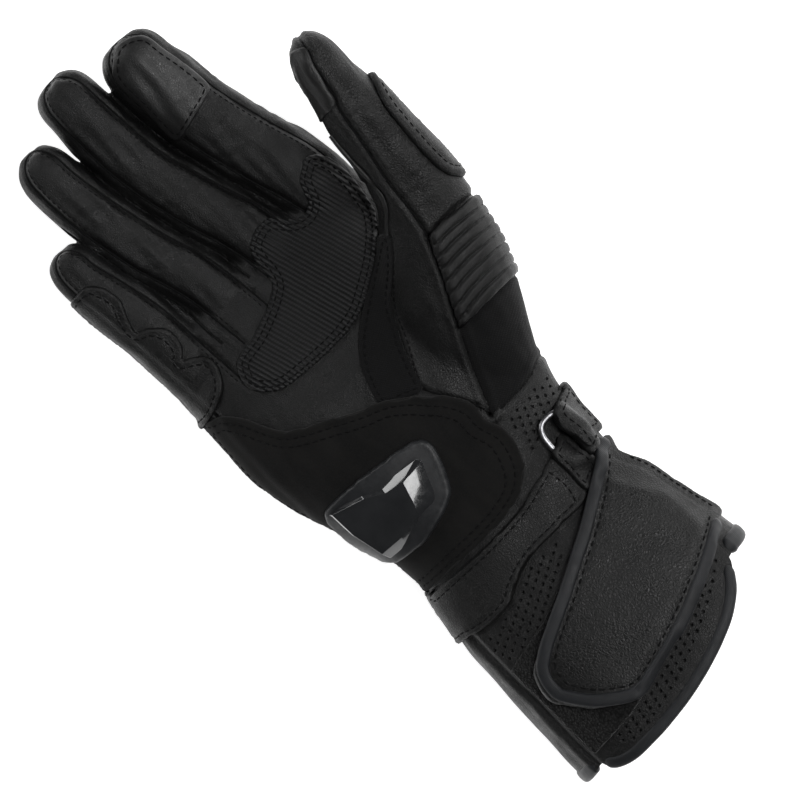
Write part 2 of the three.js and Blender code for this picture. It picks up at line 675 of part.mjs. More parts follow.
// Patches lie on the panels. from and to are their heights over the leather.
function patch(outline, from, to, { low = PALM_LEVEL, over = handForm, avoid = [thumbClear] } = {}) {
  const layer = over(to).subtract(over(from)).intersect(prism(outline, low));
  return largest(avoid.reduce((rest, other) => rest.subtract(other), layer));
}
const thumbOnly = (d) => digit("thumb", d);
pieces.grip_patch = { solid: patch(gripOutline, GAP, GAP + GRIP_PATCH), look: "grip" };
pieces.thenar_strip = {
  solid: patch(stripOutline, GAP, GAP + PATCH, { avoid: [thumbClear, prism(grown(gripOutline, GAP)), prism(grown(heelOutline, GAP))] }),
  look: "stretch",
};
pieces.heel_patch = { solid: patch(heelOutline, GAP, GAP + HEEL_PATCH, { low: SIDE_HEIGHT }), look: "suede" };
pieces.little_finger_guard = {
  solid: patch(guardOutline, GAP, GAP + PATCH, { low: SIDE_HEIGHT, avoid: [prism(grown(heelOutline, GAP)), digit("ring", GAP)] }),
  look: "leather",
};
pieces.index_tip_patch = { solid: patch(indexTipOutline, GAP, GAP + PATCH, { avoid: [] }), look: "smooth_leather" };
pieces.thumb_tip_patch = {
  solid: patch(thumbTipOutline, GAP, GAP + PATCH, { low: 0.8 * HAND_DEPTH, over: thumbOnly, avoid: [handClear] }),
  look: "smooth_leather",
};
pieces.thumb_guard = {
  solid: patch(thumbGuardOutline, GAP, GAP + THUMB_GUARD, { over: thumbOnly, avoid: [handClear] }),
  look: "leather",
};

// The palm slider: a frame round a faceted insert, both on the heel patch.
const heelTop = GAP + HEEL_PATCH;
const sliderSeat = heelTop + GAP;
const insertHeight = (p) => HAND_DEPTH * 1.02 + sliderSeat - 0.11 * Math.max(0, -0.2 * HAND_WIDTH - p.x);
const insert = loft([
  domeFoot.map((p) => new THREE.Vector3(p.x, p.y, HAND_DEPTH * 0.5)),
  domeFoot.map((p) => new THREE.Vector3(p.x, p.y, insertHeight(p))),
  domeTop.map((p) => new THREE.Vector3(p.x, p.y, insertHeight(p) + SLIDER_DOME - SLIDER_FRAME)),
]);
pieces.slider_dome = { solid: largest(insert.subtract(handForm(sliderSeat))), look: "gloss" };
pieces.slider_frame = {
  solid: largest(
    patch(sliderOutline, sliderSeat, sliderSeat + SLIDER_FRAME, { low: SIDE_HEIGHT }).subtract(prism(grown(domeFoot, GAP))),
  ),
  look: "rubber",
};

// Cuff: a perforated front between the side edges of a wider back.
const cuffForm = (d) => trunk(d);
const cuffWall = skin.subtract(handPrismClear).subtract(stretchClear);
const FRONT_LEVEL = 0.5 * CUFF_DEPTH;
const cuffFront = prism(cuffFrontOutline, FRONT_LEVEL);
function hemBand(outline, hem, width) {
  const first = outline.indexOf(hem[0]);
  const part = (d) => moved(outline, d).slice(first, first + hem.length);
  return [...part(2 * WALL), ...part(-width).reverse()];
}
const frontBand = hemBand(cuffFrontOutline, frontHem, BINDING_BAND);
const bound = trunk(HEM_BINDING).subtract(
  trunk(-WALL - HEM_BINDING, CUFF_LENGTH * 0.2).subtract(bindingFloor),
);
pieces.cuff_front = {
  solid: largest(cuffWall.intersect(cuffFront).subtract(prism(grown(frontBand, GAP), FRONT_LEVEL))),
  look: "perforated",
};
pieces.cuff_front_binding = {
  solid: largest(bound.intersect(prism(cuffFrontOutline, FRONT_LEVEL)).intersect(prism(frontBand, FRONT_LEVEL))),
  look: "binding",
};
const backZone = [...backHem, ...[[1, -0.3], [-1, -0.3]].map(cuffPoint)];
const backBand = [...backHem, ...backHem.map((p) => new THREE.Vector2(p.x, p.y + BINDING_BAND)).reverse()];
const frontClear = prism(grown(cuffFrontOutline, GAP), FRONT_LEVEL - GAP);
pieces.cuff_back = {
  solid: largest(
    cuffWall.intersect(prism(backZone)).subtract(frontClear).subtract(prism(grown(backBand, GAP))),
  ),
  look: "leather",
};
pieces.cuff_back_binding = {
  solid: largest(trimmed(bound).intersect(prism(backBand)).subtract(prism(grown(cuffFrontOutline, 2 * GAP), FRONT_LEVEL - HEM_BINDING - GAP))),
  look: "binding",
};

// Closure: loop pad, then the flap with its bound edge.
const padTop = GAP + LOOP_PAD;
pieces.loop_pad = {
  solid: patch(loopOutline, GAP, padTop, { low: FRONT_LEVEL, over: cuffForm, avoid: [prism(grown(frontBand, GAP))] }),
  look: "loop",
};
const flapSeat = padTop + GAP;
const flapInner = grown(flapOutline, -BINDING_BAND);
pieces.closure_flap = {
  solid: patch(flapInner, flapSeat, flapSeat + FLAP, { over: cuffForm, low: 0.45 * CUFF_DEPTH }),
  look: "leather",
};
pieces.flap_binding = {
  solid: largest(
    patch(flapOutline, flapSeat, flapSeat + FLAP_BINDING, { over: cuffForm, low: 0.45 * CUFF_DEPTH }).subtract(
      prism(grown(flapInner, GAP)),
    ),
  ),
  look: "binding",
};

// Wrist strap, ring and tab. The ring's two bars run through the folded ends.
const ringMiddle = cuffPoint([0.318, 0.047]);
const wristHeight = Math.max(palmRows.at(-1).top * HAND_DEPTH, cuffRows[0].top * CUFF_DEPTH);
const ringPath = (() => {
  const half = new THREE.Vector2(RING_SPAN / 2, RING_LENGTH_ALONG / 2);
  const corners = [
    [-1, -0.6], [-1, 0.6], [-0.55, 1], [0.55, 1], [1, 0.6], [1, -0.6], [0.55, -1], [-0.55, -1],
  ];
  return new THREE.CatmullRomCurve3(
    corners.map(([u, v]) => {
      const x = ringMiddle.x + u * half.x;
      const fall = 0.24 * (x - 0.2 * CUFF_WIDTH);
      return new THREE.Vector3(x, ringMiddle.y + v * half.y, wristHeight - fall + 0.4 * RING_WIRE);
    }),
    true,
    "catmullrom",
    0.5,
  );
})();
function ringSolid(radius, sides) {
  const section = new THREE.Shape();
  section.absarc(0, 0, radius, 0, Math.PI * 2, false);
  const steps = 20;
  const frames = ringPath.computeFrenetFrames(steps, true);
  const rings = Array.from({ length: steps }, (_, i) => {
    const at = ringPath.getPointAt(i / steps);
    return Array.from({ length: sides }, (_, k) => {
      const angle = (k / sides) * Math.PI * 2;
      return at
        .clone()
        .addScaledVector(frames.normals[i], radius * Math.cos(angle))
        .addScaledVector(frames.binormals[i], radius * Math.sin(angle));
    });
  });
  const half = Math.ceil(steps / 2);
  return loft(rings.slice(0, half + 1)).add(loft([...rings.slice(half), rings[0]]));
}
const ringClear = ringSolid(RING_WIRE / 2 + GAP, 8);
const wristLayer = { over: cuffForm, low: 0.3 * CUFF_DEPTH };
pieces.d_ring = { solid: ringSolid(RING_WIRE / 2, 8), look: "steel" };
const strapBody = patch(strapOutline, GAP, GAP + STRAP, wristLayer);
const strapEnd = patch(strapEndOutline, GAP, GAP + STRAP_END, wristLayer);
pieces.wrist_strap = {
  solid: largest(strapBody.add(strapEnd).subtract(ringClear).subtract(prism(grown(flapOutline, GAP)))),
  look: "leather",
};
pieces.ring_tab = {
  solid: largest(patch(tabOutline, GAP, GAP + RING_TAB, wristLayer).subtract(ringClear).subtract(prism(grown(flapOutline, GAP)))),
  look: "leather",
};

// Materials from the photograph: near-black leathers, a matt suede, a gloss insert and a steel ring.
const looks = {
  leather: { color: 0x1c1c1e, roughness: 0.55, metalness: 0 },
  smooth_leather: { color: 0x26282a, roughness: 0.5, metalness: 0 },
  perforated: { color: 0x1d1c1c, roughness: 0.6, metalness: 0 },
  suede: { color: 0x1b1b1b, roughness: 0.95, metalness: 0 },
  stretch: { color: 0x18181b, roughness: 0.9, metalness: 0 },
  grip: { color: 0x222425, roughness: 0.7, metalness: 0 },
  loop: { color: 0x131214, roughness: 1, metalness: 0 },
  binding: { color: 0x1f2124, roughness: 0.6, metalness: 0 },
  rubber: { color: 0x2a2b2e, roughness: 0.6, metalness: 0 },
  gloss: { color: 0x1f2123, roughness: 0.08, metalness: 0 },
  steel: { color: 0xc9c5bc, roughness: 0.2, metalness: 1 },
};

const gauntlet = new THREE.Group();
for (const [name, { solid, look }] of Object.entries(pieces)) {
  const mesh = new THREE.Mesh(geometryFrom(solid), new THREE.MeshStandardMaterial(looks[look]));
  mesh.name = name;
  gauntlet.add(mesh);
}

export default gauntlet;
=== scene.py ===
# A right-hand motorcycle gauntlet that lies on its back with the palm up, seen from straight above.
# Lengths are millimetres in the part's own frame until a mesh is finished, and metres after that.
import math

import bpy
import numpy as np
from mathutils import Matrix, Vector
from mathutils.bvhtree import BVHTree
from mathutils.geometry import delaunay_2d_cdt


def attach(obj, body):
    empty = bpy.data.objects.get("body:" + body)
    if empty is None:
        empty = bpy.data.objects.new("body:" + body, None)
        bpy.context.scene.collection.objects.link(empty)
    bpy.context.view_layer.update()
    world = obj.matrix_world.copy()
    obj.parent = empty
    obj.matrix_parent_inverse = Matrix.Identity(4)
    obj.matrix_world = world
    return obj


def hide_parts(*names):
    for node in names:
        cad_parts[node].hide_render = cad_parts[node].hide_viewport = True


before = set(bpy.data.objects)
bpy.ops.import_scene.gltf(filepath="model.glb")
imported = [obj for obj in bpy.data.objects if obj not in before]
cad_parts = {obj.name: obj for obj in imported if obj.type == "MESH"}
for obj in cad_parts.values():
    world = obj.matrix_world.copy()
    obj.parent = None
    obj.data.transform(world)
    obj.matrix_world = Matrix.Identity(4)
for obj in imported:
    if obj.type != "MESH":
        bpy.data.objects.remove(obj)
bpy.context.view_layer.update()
scene = bpy.context.scene

# Sizes, the same as the solids'.
HAND = 100.0
PALM = 100.0
DEPTH = 40.0
CUFF = 100.0
CUFF_DEPTH = 52.0
CREASE = -45.0
WALL = 1.8
VOXEL = 0.8
EPS = 1e-9


def smoothstep(a, b, x):
    t = np.clip((x - a) / (b - a), 0, 1)
    return t * t * (3 - 2 * t)


def hermite(xs, ys, xq):
    """A smooth curve through the rows of a table."""
    xs, ys = np.asarray(xs, float), np.asarray(ys, float)
    flip = xs[0] > xs[-1]
    if flip:
        xs, ys = xs[::-1], ys[::-1]
    slope = np.diff(ys) / np.diff(xs)
    m = np.concatenate([[slope[0]], (slope[1:] + slope[:-1]) / 2, [slope[-1]]])
    flat = np.concatenate([[False], slope[1:] * slope[:-1] <= 0, [False]])
    m[flat] = 0
    i = np.clip(np.searchsorted(xs, xq) - 1, 0, len(xs) - 2)
    h = xs[i + 1] - xs[i]
    t = np.clip((xq - xs[i]) / h, 0, 1)
    a, b = 2 * t**3 - 3 * t**2 + 1, t**3 - 2 * t**2 + t
    return a * ys[i] + b * h * m[i] + (1 - a) * ys[i + 1] + (t**3 - t**2) * h * m[i + 1]


def waves(points, seed, shortest, longest, count=26):
    """A smooth random field of the given wavelengths, about -1.5 to 1.5, the same each run."""
    rng = np.random.default_rng(seed)
    direction = rng.normal(size=(count, 3))
    direction /= np.linalg.norm(direction, axis=1)[:, None]
    length = np.exp(rng.uniform(math.log(shortest), math.log(longest), count))
    k = direction * (2 * math.pi / length)[:, None]
    return np.cos(points @ k.T + rng.uniform(0, 2 * math.pi, count)).sum(1) / math.sqrt(count / 2)


def closed_curve(points, spacing=0.8, sharp=False):
    """An outline in even steps, through the given points."""
    p = np.asarray(points, float)
    n = len(p)
    out = []
    for i in range(n):
        a, b, c, d = p[i - 1], p[i], p[(i + 1) % n], p[(i + 2) % n]
        steps = max(2, int(np.linalg.norm(c - b) / spacing))
        t = np.arange(steps)[:, None] / steps
        if sharp:
            out.append(b + (c - b) * t)
            continue
        ab, bc, cd = (math.sqrt(np.linalg.norm(v)) + EPS for v in (b - a, c - b, d - c))
        m1 = (c - b) + bc * ((b - a) / ab - (c - a) / (ab + bc))
        m2 = (c - b) + bc * ((d - c) / cd - (d - b) / (bc + cd))
        h1 = 2 * t**3 - 3 * t**2 + 1
        out.append(h1 * b + (t**3 - 2 * t**2 + t) * m1 + (1 - h1) * c + (t**3 - t**2) * m2)
    return np.concatenate(out)


def open_curve(points, spacing=0.8):
    p = np.asarray(points, float)
    d = np.concatenate([[0], np.cumsum(np.linalg.norm(np.diff(p, axis=0), axis=1))])
    q = np.linspace(0, d[-1], max(2, int(d[-1] / spacing)))
    return np.stack([hermite(d, p[:, k], q) for k in range(p.shape[1])], 1)


def distance(points, line, closed=False):
    """How far each 2-D point is from a line of points."""
    a = line
    b = np.roll(line, -1, 0) if closed else line[1:]
    a = a if closed else line[:-1]
    best = np.full(len(points), 1e9)
    ab = b - a
    size = (ab**2).sum(1) + EPS
    lo, hi = line.min(0) - 8, line.max(0) + 8
    near = np.flatnonzero(((points[:, :2] > lo) & (points[:, :2] < hi)).all(1))
    for start in range(0, len(near), 20000):
        pick = near[start : start + 20000]
        p = points[pick][:, None, :2]
        t = np.clip(((p - a) * ab).sum(2) / size, 0, 1)[..., None]
        best[pick] = np.sqrt((((a + ab * t) - p) ** 2).sum(2)).min(1)
    return best


def inside(points, outline):
    x, y = points[:, 0], points[:, 1]
    found = np.zeros(len(points), bool)
    for (x0, y0), (x1, y1) in zip(outline, np.roll(outline, -1, 0)):
        if y0 == y1:
            continue
        crosses = (y0 > y) != (y1 > y)
        found ^= crosses & (x < (x1 - x0) * (y - y0) / (y1 - y0) + x0)
    return found


# Meshes.
def new_object(name, verts, faces):
    mesh = bpy.data.meshes.new(name)
    mesh.from_pydata(np.asarray(verts, float).tolist(), [], [tuple(f) for f in np.asarray(faces).tolist()])
    mesh.update()
    obj = bpy.data.objects.new(name, mesh)
    scene.collection.objects.link(obj)
    return obj


def mixed_object(name, verts, faces):
    mesh = bpy.data.meshes.new(name)
    mesh.from_pydata([tuple(v) for v in verts], [], faces)
    mesh.update()
    obj = bpy.data.objects.new(name, mesh)
    scene.collection.objects.link(obj)
    return obj


def coords(obj):
    co = np.zeros(len(obj.data.vertices) * 3)
    obj.data.vertices.foreach_get("co", co)
    return co.reshape(-1, 3)


def normals(obj):
    no = np.zeros(len(obj.data.vertices) * 3)
    obj.data.vertices.foreach_get("normal", no)
    return no.reshape(-1, 3)


def set_coords(obj, co):
    obj.data.vertices.foreach_set("co", np.asarray(co, float).ravel())
    obj.data.update()


def apply(obj):
    bpy.context.view_layer.update()
    graph = bpy.context.evaluated_depsgraph_get()
    mesh = bpy.data.meshes.new_from_object(obj.evaluated_get(graph), depsgraph=graph)
    old = obj.data
    obj.modifiers.clear()
    obj.data = mesh
    bpy.data.meshes.remove(old)
    return obj


def remove(*objs):
    for obj in objs:
        mesh = obj.data
        bpy.data.objects.remove(obj)
        bpy.data.meshes.remove(mesh)


def copy_of(obj, name):
    new = bpy.data.objects.new(name, obj.data.copy())
    scene.collection.objects.link(new)
    return new


def cut(obj, other, kind="DIFFERENCE", keep=False):
    mod = obj.modifiers.new("cut", "BOOLEAN")
    mod.operation = kind
    mod.solver = "MANIFOLD"
    mod.object = other
    apply(obj)
    if not keep:
        remove(other)
    return obj


def volume(verts, quads):
    a, b, c = verts[quads[:, 0]], verts[quads[:, 1]], verts[quads[:, 2]]
    total = np.einsum("ij,ij->i", a, np.cross(b, c)).sum()
    if quads.shape[1] == 4:
        d = verts[quads[:, 3]]
        total += np.einsum("ij,ij->i", a, np.cross(c, d)).sum()
    return total / 6


def loft(name, rings):
    """A closed tube through rings of points."""
    count, sides = rings.shape[:2]
    verts = np.concatenate([rings.reshape(-1, 3), [rings[0].mean(0), rings[-1].mean(0)]])
    i = np.arange(count - 1)[:, None] * sides + np.arange(sides)
    j = np.arange(count - 1)[:, None] * sides + (np.arange(sides) + 1) % sides
    quads = np.stack([i, j, j + sides, i + sides], -1).reshape(-1, 4)
    s = np.arange(sides)
    last = (count - 1) * sides
    caps = [(count * sides, (k + 1) % sides, k) for k in s]
    caps += [(count * sides + 1, last + k, last + (k + 1) % sides) for k in s]
    if volume(verts, quads) < 0:
        quads = quads[:, ::-1]
        caps = [c[::-1] for c in caps]
    faces = quads.tolist() + [tuple(int(v) for v in c) for c in caps]
    return mixed_object(name, verts.tolist(), faces)


def prism(name, outline, low=-200.0, high=200.0):
    n = len(outline)
    low_ring = np.column_stack([outline, np.full(n, low)])
    high_ring = np.column_stack([outline, np.full(n, high)])
    area = (outline[:, 0] * np.roll(outline[:, 1], -1) - np.roll(outline[:, 0], -1) * outline[:, 1]).sum()
    verts = np.concatenate([low_ring, high_ring])
    order = list(range(n)) if area > 0 else list(range(n))[::-1]
    faces = [tuple(n + k for k in order), tuple(order[::-1])]
    for a, b in zip(order, order[1:] + order[:1]):
        faces.append((a, b, n + b, n + a))
    obj = mixed_object(name, verts.tolist(), faces)
    mod = obj.modifiers.new("tri", "TRIANGULATE")
    mod.quad_method = "FIXED"
    return apply(obj)


# The form of the glove.
PALM_ROWS = [
    (0.75, -0.30, 0.345, 0.50, 0),
    (0.68, -0.46, 0.44, 0.64, 0.02),
    (0.54, -0.535, 0.45, 0.76, 0.08),
    (0.4, -0.543, 0.44, 0.86, 0.13),
    (0.2, -0.552, 0.43, 0.96, 0.12),
    (0, -0.526, 0.44, 1.02, 0.05),
    (-0.2, -0.46, 0.475, 1.0, 0),
    (-0.35, -0.41, 0.435, 0.96, 0),
]
CUFF_ROWS = [
    (0.06, -0.395, 0.42, 0.73),
    (0.2, -0.428, 0.415, 0.74),
    (0.36, -0.456, 0.463, 0.8),
    (0.56, -0.469, 0.503, 0.88),
    (0.76, -0.479, 0.528, 0.95),
    (1.1, -0.488, 0.535, 1.0),
]
TRUNK = np.array(
    [(y * PALM, l * HAND, r * HAND, t * DEPTH, d * DEPTH) for y, l, r, t, d in PALM_ROWS]
    + [(CREASE - s * CUFF, l * HAND, r * HAND, t * CUFF_DEPTH, 0) for s, l, r, t in CUFF_ROWS]
)


def power_ring(angles, square):
    c, s = np.cos(angles), np.sin(angles)
    return np.sign(c) * np.abs(c) ** (2 / square), np.sign(s) * np.abs(s) ** (2 / square)


def trunk_points(y, angles, d=0.0):
    """Points on the trunk, d outside it, for matching arrays of y and angle."""
    left, right, top, dent = (hermite(TRUNK[:, 0], TRUNK[:, k], y) for k in (1, 2, 3, 4))
    middle = top * 0.44
    u, v = power_ring(angles, 2.5)
    hollow = np.where(v > 0, dent * np.exp(-(((u - 0.1) / 0.42) ** 2)), 0)
    x = (left + right) / 2 + u * ((right - left) / 2 + d)
    z = middle + np.where(v > 0, v * (top - middle + d) - hollow, v * (middle + 1 + d))
    return np.stack([x, y, z], -1)


def trunk(name, d=0.0, y0=75.0, y1=-155.0, sides=150, step=1.6):
    ys = np.linspace(y0, y1, int((y0 - y1) / step))
    angles = np.arange(sides) / sides * 2 * math.pi
    a, y = np.meshgrid(angles, ys)
    return loft(name, trunk_points(y, a, d))


ROOT_Z = 0.37 * DEPTH
DIGITS = {
    "index": dict(root=(35, 58, ROOT_Z), length=102, width=27, tip=(0.992, -0.152), rows=[
        (-0.06, 0, -0.02, 0.82, 0.8), (0.216, -0.033, 0, 1.03, 1.0), (0.412, -0.087, 0.02, 1.045, 0.98),
        (0.608, -0.133, 0.05, 1.035, 0.96), (0.76, -0.153, 0.085, 1.03, 0.93), (0.865, -0.164, 0.115, 0.963, 0.88)]),
    "middle": dict(root=(7, 60, ROOT_Z), length=106, width=24, tip=(1, -0.142), rows=[
        (0, 0, -0.01, 1.0, 0.98), (0.189, -0.024, 0, 1.04, 1.06), (0.377, -0.078, 0.015, 1.03, 1.04),
        (0.566, -0.124, 0.04, 0.99, 1.0), (0.755, -0.14, 0.08, 0.98, 0.97), (0.885, -0.142, 0.115, 0.94, 0.92)]),
    "ring": dict(root=(-16.5, 48.5, ROOT_Z), length=105, width=22, tip=(1, -0.132), rows=[
        (0, 0, -0.01, 1.0, 1.0), (0.157, -0.014, 0, 1.02, 1.06), (0.303, -0.033, 0.01, 1.02, 1.06),
        (0.493, -0.087, 0.03, 1.02, 1.02), (0.682, -0.125, 0.06, 1.0, 1.0), (0.872, -0.144, 0.11, 0.93, 0.92)]),
    "little": dict(root=(-41, 35.5, ROOT_Z), length=86, width=22, tip=(1, -0.082), rows=[
        (0, 0, -0.01, 1.0, 0.98), (0.285, -0.02, 0, 1.0, 1.04), (0.515, -0.035, 0.02, 1.02, 1.0),
        (0.72, -0.063, 0.06, 0.93, 0.94), (0.875, -0.087, 0.1, 0.85, 0.84)]),
    "thumb": dict(root=(26, -28, 20), length=141, width=24, tip=(1.003, 0.27), rows=[
        (0, 0, 0, 1.25, 1.05), (0.13, 0.043, 0.015, 1.6, 1.55), (0.27, 0.088, 0.05, 1.88, 1.66),
        (0.4, 0.152, 0.09, 1.74, 1.56), (0.518, 0.208, 0.13, 1.33, 1.36), (0.638, 0.228, 0.175, 1.12, 1.2),
        (0.765, 0.237, 0.22, 1.01, 1.1), (0.872, 0.252, 0.255, 0.8, 0.94)]),
}


def digit_line(name, count=90, d=0.0):
    """Centre, side and up directions, and half sizes along a digit."""
    g = DIGITS[name]
    rows = np.array(g["rows"], float)
    length = g["length"]
    key = np.append(rows[:, 0], g["tip"][0])
    across = np.append(rows[:, 1], g["tip"][1])
    lift = np.append(rows[:, 2], rows[-1, 2] + 0.02)
    last = rows[-1, 0]
    body = np.linspace(rows[0, 0], last, count)[:-1]
    turn = np.linspace(0, math.pi / 2 * 0.985, 22)
    reach = g["tip"][0] - last + 2.0 * min(d, 0) / length
    along = np.concatenate([body, last + reach * np.sin(turn)])

    def place(t):
        return np.stack([hermite(key, across, t), t, hermite(key, lift, t)], 1) * length

    at = place(along)
    ahead = place(np.minimum(along + 0.01, key[-1])) - place(along - 0.01)
    ahead /= np.linalg.norm(ahead, axis=1)[:, None]
    side = np.stack([ahead[:, 1], -ahead[:, 0], np.zeros(len(at))], 1)
    side /= np.linalg.norm(side, axis=1)[:, None]
    up = np.cross(side, ahead)
    s = np.clip((along - last) / reach, 0, 1)
    round_off = (1 - s**2.4) ** (1 / 2.4)
    half = g["width"] / 2
    wide = hermite(rows[:, 0], rows[:, 3], np.minimum(along, last)) * half
    deep = hermite(rows[:, 0], rows[:, 4], np.minimum(along, last)) * half * 0.94
    return at + np.array(g["root"], float), side, up, wide, deep, round_off


def digit(name, label, d=0.0, sides=64):
    at, side, up, wide, deep, off = digit_line(name, 90, d)
    u, v = power_ring(np.arange(sides) / sides * 2 * math.pi, 2.25)
    rings = (
        at[:, None]
        + side[:, None] * (u[None, :] * ((wide + d) * off)[:, None])[..., None]
        + up[:, None] * (v[None, :] * ((deep + d) * off)[:, None])[..., None]
    )
    return loft(label, rings)


# Seams and outlines, in x and y, seen from above the palm.
WEB = open_curve([(44.5, 72), (43.8, 66), (45.3, 60), (45.5, 55), (43.5, 50), (38, 45), (36, 42), (28, 33),
                  (20, 27), (15, 16), (10, 5), (8, -1), (12, -10), (17, -20), (19, -26)])
THUMB_SEAM = open_curve([(65, 118), (62, 107), (59, 100), (57.5, 90), (56, 86), (53, 70), (50, 55), (49, 45),
                         (46.5, 33), (42, 22), (37, 12), (32, 2), (27, -8), (22, -20), (19, -26)])


def seam_x(y):
    order = THUMB_SEAM[::-1]
    return float(np.interp(y, order[:, 1], order[:, 0]))


def seam_part(top, bottom):
    part = THUMB_SEAM[(THUMB_SEAM[:, 1] < top) & (THUMB_SEAM[:, 1] > bottom)]
    return np.concatenate([[(seam_x(top), top)], part, [(seam_x(bottom), bottom)]])


RIB_TOP, RIB_BOTTOM = 33.3, 3.0
OUTER = np.concatenate([[(110, 117)], seam_part(117, RIB_TOP), [(110, RIB_TOP)]])
RIBBED = np.concatenate([[(110, RIB_TOP)], seam_part(RIB_TOP, RIB_BOTTOM), [(110, RIB_BOTTOM)]])
STRETCH_END = open_curve([(19, -26), (24, -26.8), (30, -27), (38, -26.4), (46, -24), (60, -24)])
STRETCH = np.concatenate([[(110, RIB_BOTTOM)], seam_part(RIB_BOTTOM, -25.9), STRETCH_END[1:], [(110, -24)]])
INNER = np.concatenate([[(seam_x(117), 117), (44, 117), (43.9, 80)], WEB, THUMB_SEAM[::-1][1:]])
WRIST_SEAM = np.array([(-110, -52), (5, -52), (14, -46), (19, -26)] )
HAND_ZONE = np.concatenate([WRIST_SEAM, STRETCH_END[1:], [(110, -24), (110, 210), (-110, 210)]])
PALM_EDGE = np.array([(-47, -60), (-51, 20), (-50, 46), (-33, 50), (-29, 51), (-8, 63), (-5, 63), (18, 65),
                      (22, 65), (40, 68), (42, 30), (42, -60)], float)
GRIP = closed_curve([(-34.5, 43), (-31, 49.5), (-20, 52), (-12, 55), (-6, 58), (-2.5, 61), (-1.5, 67), (-1, 72),
                     (1, 75.5), (5, 77.5), (10, 78.5), (13, 77.5), (16, 74), (19, 71), (22, 70), (26, 71.5),
                     (28, 76), (30, 80), (34, 82), (38, 83.5), (41.5, 80), (43.2, 74), (43.2, 66), (42.3, 60),
                     (41.2, 54.5), (38, 49.5), (33, 44.5), (29, 41.2), (24, 38), (18, 34.5), (12, 31.5), (5, 30),
                     (-2, 29.5), (-10, 29.7), (-20, 30.5), (-27, 32), (-32, 36), (-34.5, 40)], 0.9)
STRIP = closed_curve([(36, 45.5), (27, 40.3), (20, 36), (13, 31.5), (8, 28), (3, 23.5), (-1, 18.5), (-4, 12),
                      (-6, 4), (-4, 1.5), (2, -1), (8, -3), (11, 4), (14, 12), (17, 18), (22, 26), (30, 33),
                      (36.5, 40), (38, 43.5)], 0.9)
INDEX_TIP = closed_curve([(8.6, 121), (8.6, 134), (8.5, 148), (10, 151.5), (14, 155), (17, 156.8), (21, 156.5),
                          (25, 154.5), (27, 152), (28, 145), (29.5, 137), (30.4, 128), (30, 124.5), (20, 121),
                          (10, 119.5)], 0.8)
SLIDER = closed_curve([(-47.3, -12), (-46.5, -9.5), (-44, -8.7), (-30, -9.3), (-18, -11), (-8, -13), (-4, -15),
                       (-2.7, -18.5), (-4, -24), (-6.5, -30), (-9, -34.5), (-13, -37), (-20, -39.5), (-27, -41),
                       (-33, -40.8), (-38, -40), (-41, -38.5), (-44, -31), (-46.5, -22)], 0.7)
FLAP_TOP = [(40.5, -60), (38, -60), (30, -65.5), (20, -71.5), (10, -77), (0, -82), (-10, -87), (-20, -91.5),
            (-30, -96.5), (-36, -100.5), (-38.5, -105), (-38.7, -110), (-36, -115), (-31, -121), (-25, -125.5),
            (-18, -129.5), (-13, -130.5), (-8, -130), (0, -128), (10, -125), (20, -121.5), (30, -117.5),
            (40, -113), (48.3, -109.3)]
CUFF_LEFT, CUFF_RIGHT = -41.0, 43.0
HEM = open_curve([(41.8, -121.2), (37, -127.6), (29, -133.5), (20, -137.5), (10, -140.7), (0, -143), (-10, -144.5),
                  (-20, -145.3), (-32, -145), (-38, -142.3), (-39.8, -138.5)])
CUFF_FRONT = np.concatenate([[(CUFF_LEFT, -52.1), (5, -52.1), (14, -46.1), (19, -26)], STRETCH_END[1:-6],
                             [(43, -30), (42, -45), (41, -60), (41.5, -95), (43, -111), (43, -118)], HEM,
                             [(CUFF_LEFT, -95)]])


# The camera stands straight above the palm, and the glove runs corner to corner of the picture.
camera = bpy.data.objects.new("camera", bpy.data.cameras.new("camera"))
scene.collection.objects.link(camera)
scene.camera = camera
camera.data.lens = 200
camera.data.sensor_width = 36
camera.data.clip_end = 10
camera.location = (0, 0, 0.280 * 200 / 36 + 0.032)
camera.rotation_euler = (0, 0, math.radians(-45))

# The whole outer form: overlapping tubes melted into one skin.
parts = [trunk("trunk")] + [digit(n, "digit_" + n) for n in DIGITS]
# A low web closes the two places where neighbouring fingers only just miss each other.
for k, gap in enumerate(([(2, 133), (9, 131), (10.5, 114), (3.5, 113)], [(-35, 84), (-28.5, 83), (-27.5, 70), (-34, 70)])):
    parts.append(prism(f"gap_{k}", np.array(gap, float), np.full(4, 13.0), np.full(4, 20.0)))
for p in parts[1:]:
    cut(parts[0], p, "UNION")
base = parts[0]
base.name = "base"
mod = base.modifiers.new("voxel", "REMESH")
mod.mode = "VOXEL"
mod.voxel_size = VOXEL
apply(base)
mod = base.modifiers.new("soft", "SMOOTH")
mod.factor = 0.5
mod.iterations = 9
apply(base)

# The leather bridges the fold between the palm and the thumb.
BRIDGE = np.array([(9, -22), (8, 0), (15, 22), (30, 37), (41, 46), (46, 36), (39, 14), (30, -4), (24, -18), (19, -27)],
                  float)
co = coords(base)
no = normals(base)
reach = smoothstep(5, -1, distance(co, BRIDGE, True)) * (co[:, 2] > 22) * (no[:, 2] > -0.1)
weight = np.where(inside(co[:, :2], BRIDGE) & (co[:, 2] > 22) & (no[:, 2] > -0.1), 1, reach)
group = base.vertex_groups.new(name="bridge")
for level in np.unique(np.round(weight, 1)):
    if level > 0:
        group.add(np.flatnonzero(np.round(weight, 1) == level).tolist(), float(level), "REPLACE")
mod = base.modifiers.new("bridge", "SMOOTH")
mod.factor = 0.8
mod.iterations = 90
mod.vertex_group = "bridge"
apply(base)

# Seams pull the leather in, and its edges stand up beside them.
FINGERS = ("index", "middle", "ring", "little")


